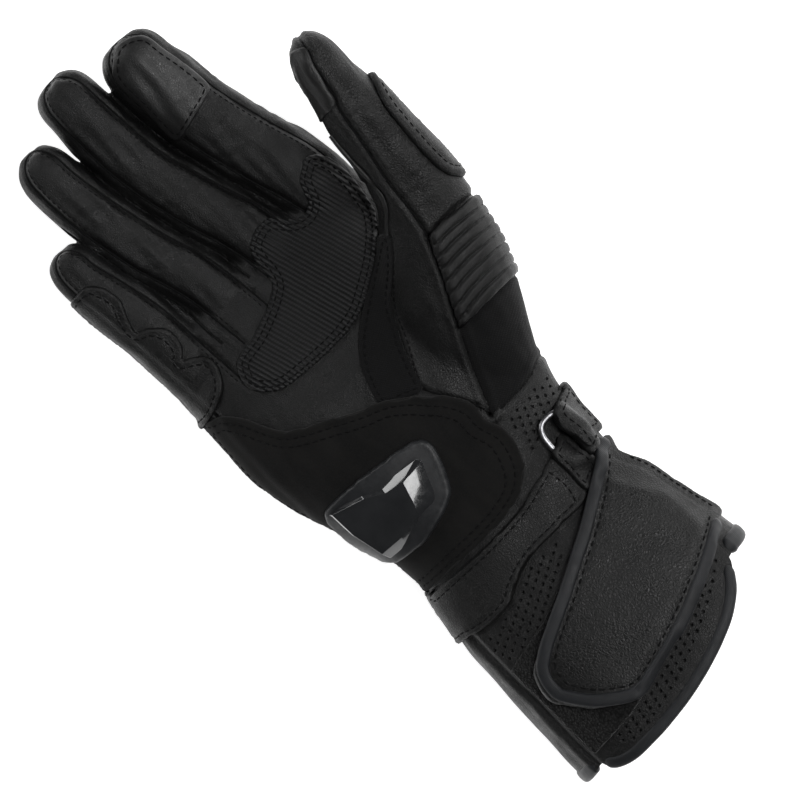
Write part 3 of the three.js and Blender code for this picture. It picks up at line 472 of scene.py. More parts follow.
def seam_height(d, depth=0.7, puff=0.35):
    return puff * np.exp(-(((d - 2.2) / 1.3) ** 2)) - depth * np.exp(-((d / 0.85) ** 2))


def finger_seam(name, inset_by=3.4):
    """The seam round a finger's front, from its root up one side and down the other."""
    at, side, up, wide, deep, off = digit_line(name)
    half = wide * off - inset_by
    use = (half > 1) & (at[:, 1] > DIGITS[name]["root"][1] + 4)
    left = at[use, :2] - side[use, :2] * half[use, None]
    right = at[use, :2] + side[use, :2] * half[use, None]
    return np.concatenate([left, right[::-1]])


co = coords(base)
no = normals(base)
rise = np.zeros(len(co))
upper = smoothstep(-0.25, 0.15, no[:, 2])
for name in FINGERS:
    high = smoothstep(12.5, 15, co[:, 2]) * upper
    rise += high * seam_height(distance(co, finger_seam(name)), 0.6, 0.18)
palm_side = open_curve([(-47, -52), (-50.5, -10), (-51.5, 20), (-50, 42)])
rise += smoothstep(14, 17, co[:, 2]) * upper * seam_height(distance(co, palm_side))
rise += upper * smoothstep(24, 27, co[:, 2]) * seam_height(distance(co, THUMB_SEAM), 0.9, 0.5)
web_low = WEB[WEB[:, 1] < 62]
rise += upper * smoothstep(20, 24, co[:, 2]) * seam_height(distance(co, web_low), 0.8, 0.4)
for y in (RIB_TOP, RIB_BOTTOM):
    line = open_curve([(seam_x(y), y), (90, y)])
    rise += smoothstep(8, 10, co[:, 2]) * seam_height(distance(co, line), 0.7, 0.2)
rise += smoothstep(8, 10, co[:, 2]) * seam_height(distance(co, STRETCH_END), 0.6, 0.2)
rim_line = open_curve([(CUFF_LEFT, -76), (CUFF_LEFT, -95), (CUFF_LEFT, -141)])
rise += smoothstep(24, 27, co[:, 2]) * seam_height(distance(co, rim_line), 0.9, 0.5)
rib_zone = inside(co[:, :2], RIBBED) & (co[:, 2] > 13)
rise[rib_zone] -= 0.5

# Soft folds: long ones along the fingers, short ones across their joints, and broad ones on the cuff.
long_folds = waves(co * (1, 0.22, 1), 3, 3.0, 9.0)
cross_folds = waves(co * (0.5, 1, 0.6), 5, 2.4, 6.0)
broad_folds = waves(co, 8, 14, 40)
joints = np.zeros(len(co))
for name, shares in (("index", (0.2, 0.45, 0.7)), ("middle", (0.2, 0.45, 0.7)), ("ring", (0.2, 0.45, 0.7)),
                     ("little", (0.25, 0.5, 0.75)), ("thumb", (0.55, 0.72))):
    g = DIGITS[name]
    near = distance(co, digit_line(name)[0][:, :2]) < g["width"] * 0.55
    along = (co[:, 1] - g["root"][1]) / g["length"]
    for share in shares:
        joints += near * np.exp(-(((along - share) / 0.07) ** 2))
knuckle = smoothstep(66, 80, co[:, 1])
rise += upper * (0.05 + 0.1 * knuckle) * long_folds
rise += upper * np.clip(joints, 0, 1) * 0.11 * cross_folds
rise += 0.16 * broad_folds * smoothstep(3, 8, co[:, 2])
set_coords(base, co + no * rise[:, None])

# Thin slots keep the fingers apart.
FORKS = [
    [(19, 70), (17.3, 80), (11.5, 100), (6.6, 120), (4.85, 135), (4.3, 150), (4.5, 165)],
    [(-7, 68), (-8.4, 80), (-14.05, 100), (-18.3, 120), (-20.4, 140), (-21, 150), (-22, 165)],
    [(-30.2, 58), (-31.9, 80), (-36.7, 100), (-38.8, 112), (-40, 118), (-42, 130)],
]
bpy.context.view_layer.update()
before_forks = BVHTree.FromObject(base, bpy.context.evaluated_depsgraph_get())
for i, fork in enumerate(FORKS):
    line = open_curve(fork, 3)
    way = np.gradient(line, axis=0)
    way /= np.linalg.norm(way, axis=1)[:, None]
    across = np.column_stack([way[:, 1], -way[:, 0]]) * 0.4
    rim = np.concatenate([line - across, (line + across)[::-1]])
    floors = []
    for x, y in line:
        hit = before_forks.ray_cast(Vector((x, y, 120)), Vector((0, 0, -1)))
        floors.append(hit[0].z - 1.6 if hit[0] is not None and hit[0].z > 8 else 60)
    floors = np.array(floors)
    cut(base, prism(f"fork_{i}", rim, np.concatenate([floors, floors[::-1]])))
bpy.context.view_layer.update()
graph = bpy.context.evaluated_depsgraph_get()
GROUND = [BVHTree.FromObject(base, graph)]
SKIN = GROUND[0]

# The hollow for the hand.
hollow = trunk("hollow", -WALL, 64, -175, 90, 4)
for name in DIGITS:
    cut(hollow, digit(name, "hollow_" + name, -WALL, 32), "UNION")
everywhere = np.array([(-150, -250), (150, -250), (150, 250), (-150, 250)], float)
cut(hollow, prism("above_floor", everywhere, WALL, 150), "INTERSECT")
shell = copy_of(base, "shell")
cut(shell, hollow)
cut(shell, prism("floor_cut", everywhere, -60, 0))


def part_of(source, name, outline, low=-60.0, keep=True):
    """The piece of a shell inside an outline, cut out of the rest."""
    piece = copy_of(source, name)
    knife = prism("knife", np.asarray(outline, float), low, 150)
    cut(piece, knife, "INTERSECT", keep=True)
    cut(source, knife)
    return piece


cuff = shell
hand = part_of(cuff, "hand", HAND_ZONE)
thumb_outer = part_of(hand, "thumb_outer", OUTER)
stretch = part_of(hand, "stretch", STRETCH, 8.0)
thumb_inner = part_of(hand, "thumb_inner", INNER, 12.0)


def finger_front(name):
    """Everything above a finger's middle and inside its seam."""
    at, side, up, wide, deep, off = digit_line(name, 40)
    keep = wide * off > 4.4
    rings = []
    for p, s, u, h in zip(at[keep], side[keep], up[keep], (wide * off)[keep] - 3.4):
        rings.append([p - s * h, p + s * h, p + s * h + u * 40, p - s * h + u * 40])
    return loft("front_" + name, np.array(rings))


front = prism("front", PALM_EDGE, 18.0, 60.0)
for name in FINGERS:
    cut(front, finger_front(name), "UNION")
palm = copy_of(hand, "palm")
cut(palm, front, "INTERSECT", keep=True)
cut(hand, front)
back = hand
back.name = "back"
cuff_front = part_of(cuff, "cuff_front", CUFF_FRONT, 26.0)
cuff_back = cuff
cuff_back.name = "cuff_back"
BACK_HEM = [(-70, -140.7), (-47, -140.7), (0, -130), (47, -118.5), (70, -118.5)]
cut(cuff_back, prism("hem_cut", np.array(BACK_HEM + [(150, 100), (-150, 100)], float)), "INTERSECT")


# Real holes through the cuff's front, in staggered rows.
def holes_in(outline, pitch=3.7, rows=2.2, turn=0.0):
    c, s = math.cos(turn), math.sin(turn)
    outline = np.array(outline, float)
    found = []
    for j in range(-60, 60):
        for i in range(-40, 40):
            u, v = (i + (j % 2) / 2) * pitch, j * rows
            found.append((u * c - v * s, u * s + v * c))
    shift = outline.mean(0)
    found = np.array(found) + shift
    return found[inside(found, outline) & (distance(found, outline, True) > 0.9)]


WRIST_HOLES = [(19.5, -29), (30, -30), (38, -29.5), (44, -27.5), (43, -36), (36, -40), (31, -40.5), (26, -43),
               (23, -47.5), (19, -47), (20.5, -38)]
CUFF_HOLES = [(-39.5, -79), (-30, -79.5), (-20, -76), (-12, -72.5), (4, -72), (3, -79), (-8, -85), (-18, -89.5),
              (-28, -93), (-39.5, -92)]
spots = [holes_in(WRIST_HOLES, turn=0.3), holes_in(CUFF_HOLES, turn=-0.4)]
hem_rows = open_curve([(39, -113.5), (30, -119.5), (15, -127), (0, -132.8), (-15, -136.5), (-29, -138)], 1)
hem_way = np.gradient(hem_rows, axis=0)
hem_way /= np.linalg.norm(hem_way, axis=1)[:, None]
for j in (-1, 0, 1):
    line = hem_rows + np.column_stack([hem_way[:, 1], -hem_way[:, 0]]) * j * 2.3
    d = np.concatenate([[0], np.cumsum(np.linalg.norm(np.diff(line, axis=0), axis=1))])
    q = np.arange(1 + (j % 2) * 1.8, d[-1], 3.6)
    spots.append(np.column_stack([np.interp(q, d, line[:, 0]), np.interp(q, d, line[:, 1])]))
circle = np.arange(10) / 10 * 2 * math.pi
verts, faces = [], []
for x, y in np.concatenate(spots):
    at = len(verts)
    hit = SKIN.ray_cast(Vector((x, y, 120)), Vector((0, 0, -1)))
    if hit[0] is None:
        continue
    for z in (hit[0].z - 1.1, hit[0].z + 5):
        verts += [(x + 0.55 * math.cos(t), y + 0.55 * math.sin(t), z) for t in circle]
    faces += [tuple(at + 9 - k for k in range(10)), tuple(at + 10 + k for k in range(10))]
    faces += [(at + k, at + (k + 1) % 10, at + 10 + (k + 1) % 10, at + 10 + k) for k in range(10)]
cut(cuff_front, mixed_object("punch", verts, faces))


# Sheets that lie on what is under them.
def view_frame(toward):
    d = np.asarray(toward, float) / np.linalg.norm(toward)
    a = np.cross([0, 1, 0], d)
    a /= np.linalg.norm(a)
    return a, np.cross(d, a), d


def cast(origin, direction, trees=None):
    best = None
    for tree in trees or GROUND:
        hit = tree.ray_cast(Vector(origin), Vector(direction))
        if hit[0] is not None and (best is None or hit[3] < best[3]):
            best = hit
    return best


def surface_point(p, trees=None):
    """The top of what lies there at (x, y), or its side at (side, y, z)."""
    if len(p) == 2:
        hit = cast((p[0], p[1], 120), (0, 0, -1), trees)
    else:
        hit = cast((p[0] * 150, p[1], p[2]), (-p[0], 0, 0), trees)
    if hit is None:
        hit = SKIN.find_nearest(Vector((*p, 25) if len(p) == 2 else (p[0] * 60, p[1], p[2])))
    return np.array(hit[0])


def inset(line, d):
    """A closed outline moved inwards, without the points that fold over."""
    area = (line[:, 0] * np.roll(line[:, 1], -1) - np.roll(line[:, 0], -1) * line[:, 1]).sum()
    way = np.roll(line, -1, 0) - np.roll(line, 1, 0)
    way /= np.linalg.norm(way, axis=1)[:, None] + EPS
    inward = np.column_stack([-way[:, 1], way[:, 0]]) * (1 if area > 0 else -1)
    out = line + inward * d
    return out[distance(out, line, True) >= 0.96 * d]


def tri_normals(verts, faces):
    n = np.cross(verts[faces[:, 1]] - verts[faces[:, 0]], verts[faces[:, 2]] - verts[faces[:, 0]])
    total = np.zeros_like(verts)
    for k in range(3):
        np.add.at(total, faces[:, k], n)
    return total / (np.linalg.norm(total, axis=1)[:, None] + EPS)


class Sheet:
    """A closed sheet of even grid whose top has the height that shape(flat, edge distance, point) gives."""

    def __init__(self, name, outline, toward=(0, 0, 1), thick=1.2, edge=0.8, step=0.9, lift=0.05,
                 shape=None, sharp=False, passes=4, trees=None, row=2.2):
        self.axes = view_frame(toward)
        a, b, d = self.axes
        curve = closed_curve([surface_point(p, trees) for p in outline], 0.8, sharp)
        flat = np.column_stack([curve @ a, curve @ b])
        self.flat = flat
        lo, hi = flat.min(0), flat.max(0)
        gx = np.arange(lo[0], hi[0] + step, step)
        gy = np.arange(lo[1], hi[1] + step, step * 0.866)
        grid = np.array([(x + (j % 2) * step / 2, y) for j, y in enumerate(gy) for x in gx])
        grid = grid[inside(grid, flat)]
        grid = grid[distance(grid, flat, True) > edge * 0.8 + step * 0.45]
        rings = [inset(flat, edge * f) for f in (0.3, 0.8)]
        points = np.concatenate([flat] + rings + [grid])
        n = len(flat)
        loop = [(i, (i + 1) % n) for i in range(n)]
        got = delaunay_2d_cdt([Vector(p) for p in points.tolist()], loop, [], 1, 1e-5)
        xy = np.array([tuple(v) for v in got[0]])
        faces = np.array([f for f in got[2] if len(f) == 3])
        p, q, r = xy[faces[:, 0]], xy[faces[:, 1]], xy[faces[:, 2]]
        turn = (q - p)[:, 0] * (r - p)[:, 1] - (q - p)[:, 1] * (r - p)[:, 0]
        faces[turn < 0] = faces[turn < 0][:, ::-1]
        used = np.unique(faces)
        index = np.full(len(xy), -1)
        index[used] = np.arange(len(used))
        xy, faces = xy[used], index[faces]
        height = np.full(len(xy), np.nan)
        for i, (x, y) in enumerate(xy):
            hit = cast(a * x + b * y + d * 150, -d, trees)
            if hit is not None:
                height[i] = np.array(hit[0]) @ d
        edges = np.unique(np.sort(np.concatenate([faces[:, [0, 1]], faces[:, [1, 2]], faces[:, [2, 0]]]), 1), axis=0)
        self.edges = edges
        for _ in range(60):
            if not np.isnan(height).any():
                break
            height = self.spread(height, np.isnan(height))
        ground = height.copy()
        for _ in range(passes):
            height = np.maximum(self.spread(height), ground)
        for _ in range(2):
            height = self.spread(height)
        p3 = a * xy[:, :1] + b * xy[:, 1:] + d * height[:, None]
        normal = tri_normals(p3, faces)
        away = distance(xy, flat, True)
        e = np.clip(away / edge, 0, 1)
        high = thick * (0.3 + 0.7 * np.sqrt(1 - (1 - e) ** 2))
        if row:
            high -= 0.3 * np.exp(-(((away - row) / 0.7) ** 2)) * (thick > 1)
        if shape is not None:
            high = high + shape(p3, away)
        top = p3 + normal * (lift + high)[:, None]
        low = p3 + normal * lift * 0.5
        count = len(xy)
        sides = np.concatenate([faces[:, [0, 1]], faces[:, [1, 2]], faces[:, [2, 0]]])
        keys = {tuple(s) for s in sides.tolist()}
        rim = [s for s in keys if (s[1], s[0]) not in keys]
        all_faces = faces.tolist() + (faces[:, ::-1] + count).tolist()
        all_faces += [(i + count, j + count, j, i) for i, j in sorted(rim)]
        self.obj = mixed_object(name, np.concatenate([top, low]).tolist(), all_faces)
        self.top, self.away = top, away
        bpy.context.view_layer.update()
        self.tree = BVHTree.FromObject(self.obj, bpy.context.evaluated_depsgraph_get())
        GROUND.append(self.tree)

    def spread(self, height, only=None):
        """Each height moved to the middle of its neighbours'."""
        known = ~np.isnan(height)
        total, count = np.zeros(len(height)), np.zeros(len(height))
        for i, j in ((0, 1), (1, 0)):
            e = self.edges[known[self.edges[:, j]]]
            np.add.at(total, e[:, i], height[e[:, j]])
            np.add.at(count, e[:, i], 1)
        mean = np.where(count > 0, total / np.maximum(count, 1), np.nan)
        if only is not None:
            return np.where(only, mean, height)
        return np.where(np.isnan(mean), height, (height + mean) / 2)

    def row(self, d, trees=None):
        """A row on the sheet at a distance from its edge, as points."""
        a, b, n = self.axes
        line = inset(self.flat, d)
        out = [cast(a * x + b * y + n * 150, -n, trees or [self.tree]) for x, y in line]
        return [(np.array(h[0]), np.array(h[1])) for h in out if h is not None]


# Every thread that shows is a short stitch of its own.
STITCHES = []


def sew(path, pitch=3.0, length=2.1, radius=0.3, closed=True, sink=0.08):
    """Stitches along points that each have a surface normal."""
    p = np.array([x[0] for x in path])
    n = np.array([x[1] for x in path])
    if closed:
        p, n = np.concatenate([p, p[:1]]), np.concatenate([n, n[:1]])
    step = np.linalg.norm(np.diff(p, axis=0), axis=1)
    s = np.concatenate([[0], np.cumsum(step)])
    if s[-1] < pitch * 2:
        return
    middle = np.arange(pitch / 2, s[-1] - pitch / 3, s[-1] / max(1, round(s[-1] / pitch)))

    def at(q, values):
        return np.stack([np.interp(q, s, values[:, k]) for k in range(3)], 1)

    c, up = at(middle, p), at(middle, n)
    way = at(middle + 0.7, p) - at(middle - 0.7, p)
    good = (np.linalg.norm(way, axis=1) > 0.8) & (np.linalg.norm(way, axis=1) < 1.9)
    good &= up[:, 2] > 0.2
    good &= step[np.clip(np.searchsorted(s, middle) - 1, 0, len(step) - 1)] < 2.2
    c, up, way = c[good], up[good], way[good]
    way /= np.linalg.norm(way, axis=1)[:, None]
    side = np.cross(way, up)
    side /= np.linalg.norm(side, axis=1)[:, None] + EPS
    up = np.cross(side, way)
    STITCHES.append((c - up * sink, way, side, up, np.full(len(c), length), np.full(len(c), radius)))


def stitch_mesh(name):
    shape, faces = [], []
    along = [-1, -0.86, -0.4, 0.4, 0.86, 1]
    size = [0.35, 0.8, 1, 1, 0.8, 0.35]
    for x, r in zip(along, size):
        for k in range(6):
            t = k / 6 * 2 * math.pi
            shape.append((x / 2, math.cos(t) * r, math.sin(t) * r, (1 - x * x) * 0.5))
    shape = np.array(shape)
    for j in range(5):
        for k in range(6):
            m = (k + 1) % 6
            faces.append((j * 6 + k, j * 6 + m, (j + 1) * 6 + m, (j + 1) * 6 + k))
    faces += [tuple(range(5, -1, -1)), tuple(range(30, 36))]
    verts, all_faces, base_at = [], [], 0
    for c, way, side, up, length, radius in STITCHES:
        v = (
            c[:, None]
            + way[:, None] * (shape[None, :, 0] * length[:, None])[..., None]
            + side[:, None] * (shape[None, :, 1] * radius[:, None])[..., None]
            + up[:, None] * ((shape[None, :, 2] + shape[None, :, 3]) * radius[:, None])[..., None]
        )
        verts.append(v.reshape(-1, 3))
        for i in range(len(c)):
            all_faces += [tuple(base_at + i * 36 + k for k in f[::-1]) for f in faces]
        base_at += len(c) * 36
    STITCHES.clear()
    return mixed_object(name, np.concatenate(verts).tolist(), all_faces)


def sweep(name, path, wide, tall, across=None, sides=12, closed=False):
    """A tube with an oval section along points that each have a surface normal."""
    p = np.array([x[0] for x in path])
    n = np.array([x[1] for x in path])
    if closed:
        way = np.roll(p, -1, 0) - np.roll(p, 1, 0)
    else:
        way = np.gradient(p, axis=0)
    way /= np.linalg.norm(way, axis=1)[:, None] + EPS
    side = np.cross(way, n)
    side /= np.linalg.norm(side, axis=1)[:, None] + EPS
    up = np.cross(side, way)
    t = np.arange(sides) / sides * 2 * math.pi
    u, v = power_ring(t, 2.6)
    w, h = np.broadcast_to(wide, len(p)) / 2, np.broadcast_to(tall, len(p)) / 2
    rings = p[:, None] + side[:, None] * (u * w[:, None])[..., None] + up[:, None] * (v * h[:, None])[..., None]
    if not closed:
        return loft(name, rings)
    count = len(p)
    i = np.arange(count)[:, None] * sides + np.arange(sides)
    j = np.arange(count)[:, None] * sides + (np.arange(sides) + 1) % sides
    up_i, up_j = np.roll(i, -1, 0), np.roll(j, -1, 0)
    quads = np.stack([i, j, up_j, up_i], -1).reshape(-1, 4)
    verts = rings.reshape(-1, 3)
    if volume(verts, quads) < 0:
        quads = quads[:, ::-1]
    return mixed_object(name, verts.tolist(), quads.tolist())


def on_surface(points, trees=None, up=0.0):
    """Points on the top of what lies there, with their normals."""
    out = []
    for p in points:
        hit = cast((p[0], p[1], 120), (0, 0, -1), trees)
        if hit is not None:
            out.append((np.array(hit[0]) + np.array(hit[1]) * up, np.array(hit[1])))
    return out


# Patches of the palm, from the lowest to the highest.
UP_LEFT = (-0.68, 0, 0.73)
UP_RIGHT = (0.5, 0, 0.87)
strip = Sheet("thenar_strip_piece", STRIP[::3].tolist(), thick=1.0)
HEEL = [(-1, 44.5, 14), (-1, 44, 18), (-1, 42, 23), (-48, 40), (-43, 34), (-38.7, 25), (-35, 20), (-30, 16.5),
        (-20, 11.5), (-10, 6.5), (-2, 2.5), (5, -2.5), (10, -7), (14, -12), (17.5, -19), (19, -26), (19.3, -33),
        (18.5, -40), (15, -47), (9, -51.5), (0, -54), (-10, -54.8), (-25, -54.6), (-1, -54.4, 26), (-1, -54, 19),
        (-1, -53.5, 14), (-1, -30, 14), (-1, -10, 14), (-1, 10, 14), (-1, 30, 14)]
heel = Sheet("heel_patch_piece", HEEL, UP_LEFT, thick=1.6, step=1.0, passes=16)
GUARD = [(-1, 105, 24), (-49, 105.2), (-45.5, 101), (-44.3, 94), (-47, 88), (-48.5, 82), (-44, 80), (-39.5, 74),
         (-41, 66.5), (-44, 64), (-39, 61), (-36.5, 57), (-39, 49), (-45, 44.5), (-1, 42.5, 24), (-1, 42.5, 18),
         (-1, 42.5, 14), (-1, 55, 13.5), (-1, 70, 14), (-1, 85, 16), (-1, 96, 19)]
guard = Sheet("little_finger_guard_piece", GUARD, UP_LEFT, thick=1.2)
grip = Sheet("grip_patch_piece", GRIP[::4].tolist(), thick=1.3, step=0.75, passes=30)
tip = Sheet("index_tip_piece", INDEX_TIP[::3].tolist(), thick=1.0)
print("patches", len(grip.top), len(heel.top), len(guard.top))

# The thumb: puffed ribs, a smooth tip and a raised guard.
RIBS = 8


def rib_shape(p, away):
    c = p[:, 1] + 0.05 * (p[:, 0] - 50) + 0.006 * (p[:, 0] - 56) ** 2
    t = (c - RIB_BOTTOM - 0.4) / ((RIB_TOP - RIB_BOTTOM) / RIBS)
    part = np.abs(2 * (t - np.floor(t)) - 1)
    return 1.5 * np.power(np.clip(1 - part**4, 0, 1), 0.5) * smoothstep(-0.6, 0.7, away)


ribs = Sheet("accordion_piece", [(47, 33.2), (44.4, 27.5), (42, 22), (37, 12), (32.3, 3.2), (42, 2.8), (1, 2.5, 27),
             (1, 2.5, 14), (1, 12, 13), (1, 22, 14), (1, 31, 17), (1, 31.5, 28), (60, 32.6), (53, 33.2)],
             (0.55, 0, 0.84), thick=0.7, edge=0.5, step=0.42, shape=rib_shape, row=0, sharp=True, passes=2)
thumb_tip = Sheet("thumb_tip_piece", [(56.6, 87.6), (58, 93), (59.7, 99), (61.4, 104.5), (62.6, 108.5),
                  (-1, 110.6, 61), (-1, 107.5, 57), (-1, 103, 54), (-1, 95, 51), (-1, 88, 48), (50.5, 87.2)],
                  (-0.6, 0, 0.8), thick=0.7, edge=0.6, row=0)
thumb_guard = Sheet("thumb_guard_piece", [(1, 87.5, 52), (68.3, 78), (66.3, 65.1), (65.6, 52), (66.9, 43.2),
                    (1, 39.5, 41), (1, 44, 35), (1, 55, 37), (1, 65, 40), (1, 76, 45)], (0.6, 0, 0.8), thick=2.1,
                    edge=1.9, row=3.4)

# The palm slider: a frame and a faceted insert.
DOME_FOOT = [(-46, -10.8), (-33, -12.3), (-26, -16.2), (-11, -18.3), (-9.6, -20.2), (-14.2, -31), (-16.5, -33.8),
             (-25.5, -36.3), (-34, -37.6), (-41.5, -36.8), (-45.3, -22)]
DOME_TOP = [(-45.2, -11.6), (-33.3, -15.5), (-26.5, -19.5), (-19.5, -20.8), (-19.8, -21.2), (-22.6, -30.2),
            (-23.5, -31), (-26, -32.6), (-33.5, -34.2), (-42.6, -33.6), (-45, -22)]
slider = Sheet("slider_frame_piece", SLIDER[::4].tolist(), UP_LEFT, thick=2.4, edge=1.2, step=0.8, row=0)
foot = np.array([surface_point(p) for p in DOME_FOOT])
plane = np.linalg.lstsq(np.column_stack([foot[:, :2], np.ones(len(foot))]), foot[:, 2], rcond=None)[0]


def dome_ring(points, up):
    p = np.array(points, float)
    return np.column_stack([p, p @ plane[:2] + plane[2] + up])


sides = len(DOME_FOOT)
rings = [dome_ring(DOME_FOOT, -2.6), dome_ring(DOME_FOOT, 0.5), dome_ring(DOME_TOP, 3.3)]
faces = [tuple(range(sides)), tuple(range(3 * sides - 1, 2 * sides - 1, -1))]
for r in range(2):
    for k in range(sides):
        m = (k + 1) % sides
        faces.append((r * sides + m, r * sides + k, (r + 1) * sides + k, (r + 1) * sides + m))
dome = mixed_object("slider_dome_piece", np.concatenate(rings).tolist(), faces)
mod = dome.modifiers.new("bevel", "BEVEL")
mod.width = 0.55
mod.segments = 4
mod.limit_method = "ANGLE"
mod.angle_limit = math.radians(8)
apply(dome)

# The cuff: loop pad, strap, ring and its tab, and the flap with its bound edge.
LOOP = [(-39.3, -94), (-20, -90), (30, -72), (41, -90), (41.5, -107.5), (25, -118.5), (0, -128.8), (-20, -133.5),
        (-39, -135)]
loop = Sheet("loop_pad_piece", LOOP, thick=1.3, edge=0.8, step=1.2, row=0, sharp=True)
STRAP = [(-1, -55, 13.5), (-1, -55, 19), (-1, -55.3, 27), (-42, -55.5), (-30, -56.5), (-10, -57), (5, -56), (16, -53.5),
         (24, -52), (24, -69), (10, -70.5), (-5, -70.8), (-15, -73.5), (-22, -77), (-33, -77.5), (-42, -75.5),
         (-1, -75.5, 27), (-1, -75.5, 19), (-1, -75, 13.5), (-1, -65, 13.5)]
strap = Sheet("wrist_strap_piece", STRAP, UP_LEFT, thick=2.0, edge=1.0)
RING_MIDDLE, RING_HALF, RING_RADIUS = (31.8, -49.7), (5.5, 8.5), 1.1
WRIST_TOP = 0.96 * DEPTH
ring_line = []
for u, v in [(-1, -0.6), (-1, 0.6), (-0.55, 1), (0.55, 1), (1, 0.6), (1, -0.6), (0.55, -1), (-0.55, -1)]:
    x = RING_MIDDLE[0] + u * RING_HALF[0]
    ring_line.append((x, RING_MIDDLE[1] + v * RING_HALF[1], WRIST_TOP - 0.24 * (x - 20) + 0.9))
ring_line = closed_curve(ring_line, 0.8)
ring_up = np.array([0.23, 0, 0.97])
d_ring = sweep("d_ring_piece", [(p, ring_up) for p in ring_line], 2.2, 2.2, closed=True, sides=16)
ring_trees = [BVHTree.FromPolygons([tuple(v.co) for v in d_ring.data.vertices],
                                  [tuple(p.vertices) for p in d_ring.data.polygons])]
GROUND += ring_trees
strap_end = Sheet("strap_end_piece", [(23.5, -50.5), (27, -49.5), (31, -48.5), (32, -56), (32.5, -65), (28, -66.8),
                  (23.5, -68.3), (23.3, -60)], (0.2, 0, 0.98), thick=2.0, edge=1.0, passes=60)
TAB = [(33.6, -41.5), (39, -39), (43, -37.5), (1, -37, 25), (1, -37, 15), (1, -46, 15), (1, -56.5, 15), (1, -56.5, 25),
       (43, -57), (38, -58.3), (33.4, -60.5), (32.6, -51)]
tab = Sheet("ring_tab_piece", TAB, (0.6, 0, 0.8), thick=2.0, edge=1.1, passes=60, row=0,
            shape=lambda p, away: 0.9 * smoothstep(38.2, 36.8, p[:, 0]) + 0.12 * waves(p, 21, 5, 14))
flap_under = list(GROUND)
FLAP = [(40.5, -60), (36, -61.3), (30, -65.5), (20, -71.5), (10, -77), (0, -82), (-10, -87), (-20, -91.5),
        (-30, -96.5), (-36, -100.5), (-38.5, -105), (-38.7, -110), (-36, -115), (-31, -121), (-25, -125.5),
        (-18, -129.5), (-13, -130.5), (-8, -130), (0, -128), (10, -125), (20, -121.5), (30, -117.5),
        (40, -113), (48.5, -109), (50.6, -106), (49, -98), (46.5, -87), (44, -76), (42.2, -66), (41.2, -61)]
flap = Sheet("closure_flap_piece", FLAP, UP_RIGHT, thick=2.5, edge=1.2, step=1.0, passes=60, row=5.2)


def eased(path, passes=6, closed=False):
    """A path with its points and normals averaged along it."""
    p = np.array([x[0] for x in path])
    n = np.array([x[1] for x in path])
    for _ in range(passes):
        for v in (p, n):
            before, after = np.roll(v, 1, 0), np.roll(v, -1, 0)
            if not closed:
                before[0], after[-1] = v[0], v[-1]
            v[:] = (before + 2 * v + after) / 4
    return list(zip(p, n / np.linalg.norm(n, axis=1)[:, None]))


def edge_row(sheet, points, d):
    """A row along part of a sheet's edge."""
    a, b, n = sheet.axes
    p = open_curve([surface_point(q, [SKIN]) for q in points], 0.8)
    flat = np.column_stack([p @ a, p @ b])
    way = np.gradient(flat, axis=0)
    way /= np.linalg.norm(way, axis=1)[:, None]
    for sign in (1, -1):
        line = flat + np.column_stack([-way[:, 1], way[:, 0]]) * d * sign
        if inside(line, sheet.flat).mean() > 0.6:
            break
    line = line[distance(line, sheet.flat, True) > 0.9 * d]
    hits = [cast(a * x + b * y + n * 150, -n, [sheet.tree]) for x, y in line]
    return eased([(np.array(h[0]), np.array(h[1])) for h in hits if h is not None], 4)


BOUND_EDGE = FLAP[:24]
rim = edge_row(flap, BOUND_EDGE, 1.0)
ends = np.minimum(np.arange(len(rim)), np.arange(len(rim))[::-1]) * 0.8
taper = np.sqrt(np.clip(ends / 3, 0.02, 1))
flap_binding = sweep("flap_binding_piece", [(p - n * 0.5, n) for p, n in rim], 4.8 * taper, 2.7 * taper, sides=24)


def moved_in(line, d):
    way = np.gradient(line, axis=0)
    way /= np.linalg.norm(way, axis=1)[:, None]
    return line + np.column_stack([way[:, 1], -way[:, 0]]) * d


front_hem = on_surface(moved_in(HEM, 1.5), [SKIN], -0.8)
front_hem = eased(front_hem, 4)
ends = np.minimum(np.arange(len(front_hem)), np.arange(len(front_hem))[::-1]) * 0.8
taper = np.sqrt(np.clip(ends / 3, 0.05, 1))
front_binding = sweep("cuff_front_binding_piece", front_hem, 4.4 * taper, 3.0 * taper, sides=20)
turn = np.linspace(0.66, -3.72, 160)
x = trunk_points(np.full(160, -130.0), turn, -0.9)[:, 0]
y = np.interp(x, [-70, -47, 0, 47, 70], [-140.7, -140.7, -130, -118.5, -118.5]) + 1.7
hem_mid = trunk_points(y, turn, -0.9)
hem_out = trunk_points(y, turn, 1.0) - hem_mid
hem_out /= np.linalg.norm(hem_out, axis=1)[:, None]
hem_mid[:, 2] = np.maximum(hem_mid[:, 2], 1.75)
ends = np.minimum(np.arange(160), np.arange(160)[::-1]) * 1.4
taper = np.sqrt(np.clip(ends / 4, 0.05, 1))
lobe = 1 + 0.2 * smoothstep(26, 8, np.arange(160))
back_binding = sweep("cuff_back_binding_piece", list(zip(hem_mid, hem_out)), 5.4 * taper * lobe, 3.5 * taper * lobe,
                     sides=20)

# The thumb panel's folded edge, and a dark tube sunk in every long seam as painted shade in its groove.
def tubes(name, paths, wide, tall, sides=8):
    """Several thin open tubes as one mesh."""
    verts, faces = [], []
    for path in paths:
        piece = sweep("part", path, wide, tall, sides=sides)
        at = len(verts)
        verts += [tuple(v.co) for v in piece.data.vertices]
        faces += [tuple(at + i for i in p.vertices) for p in piece.data.polygons]
        remove(piece)
    return mixed_object(name, verts, faces)


def line_on_skin(points, up, passes=3, low=10):
    path = [q for q in on_surface(open_curve(points, 0.7), [SKIN], up) if q[0][2] > low]
    return eased(path, passes)


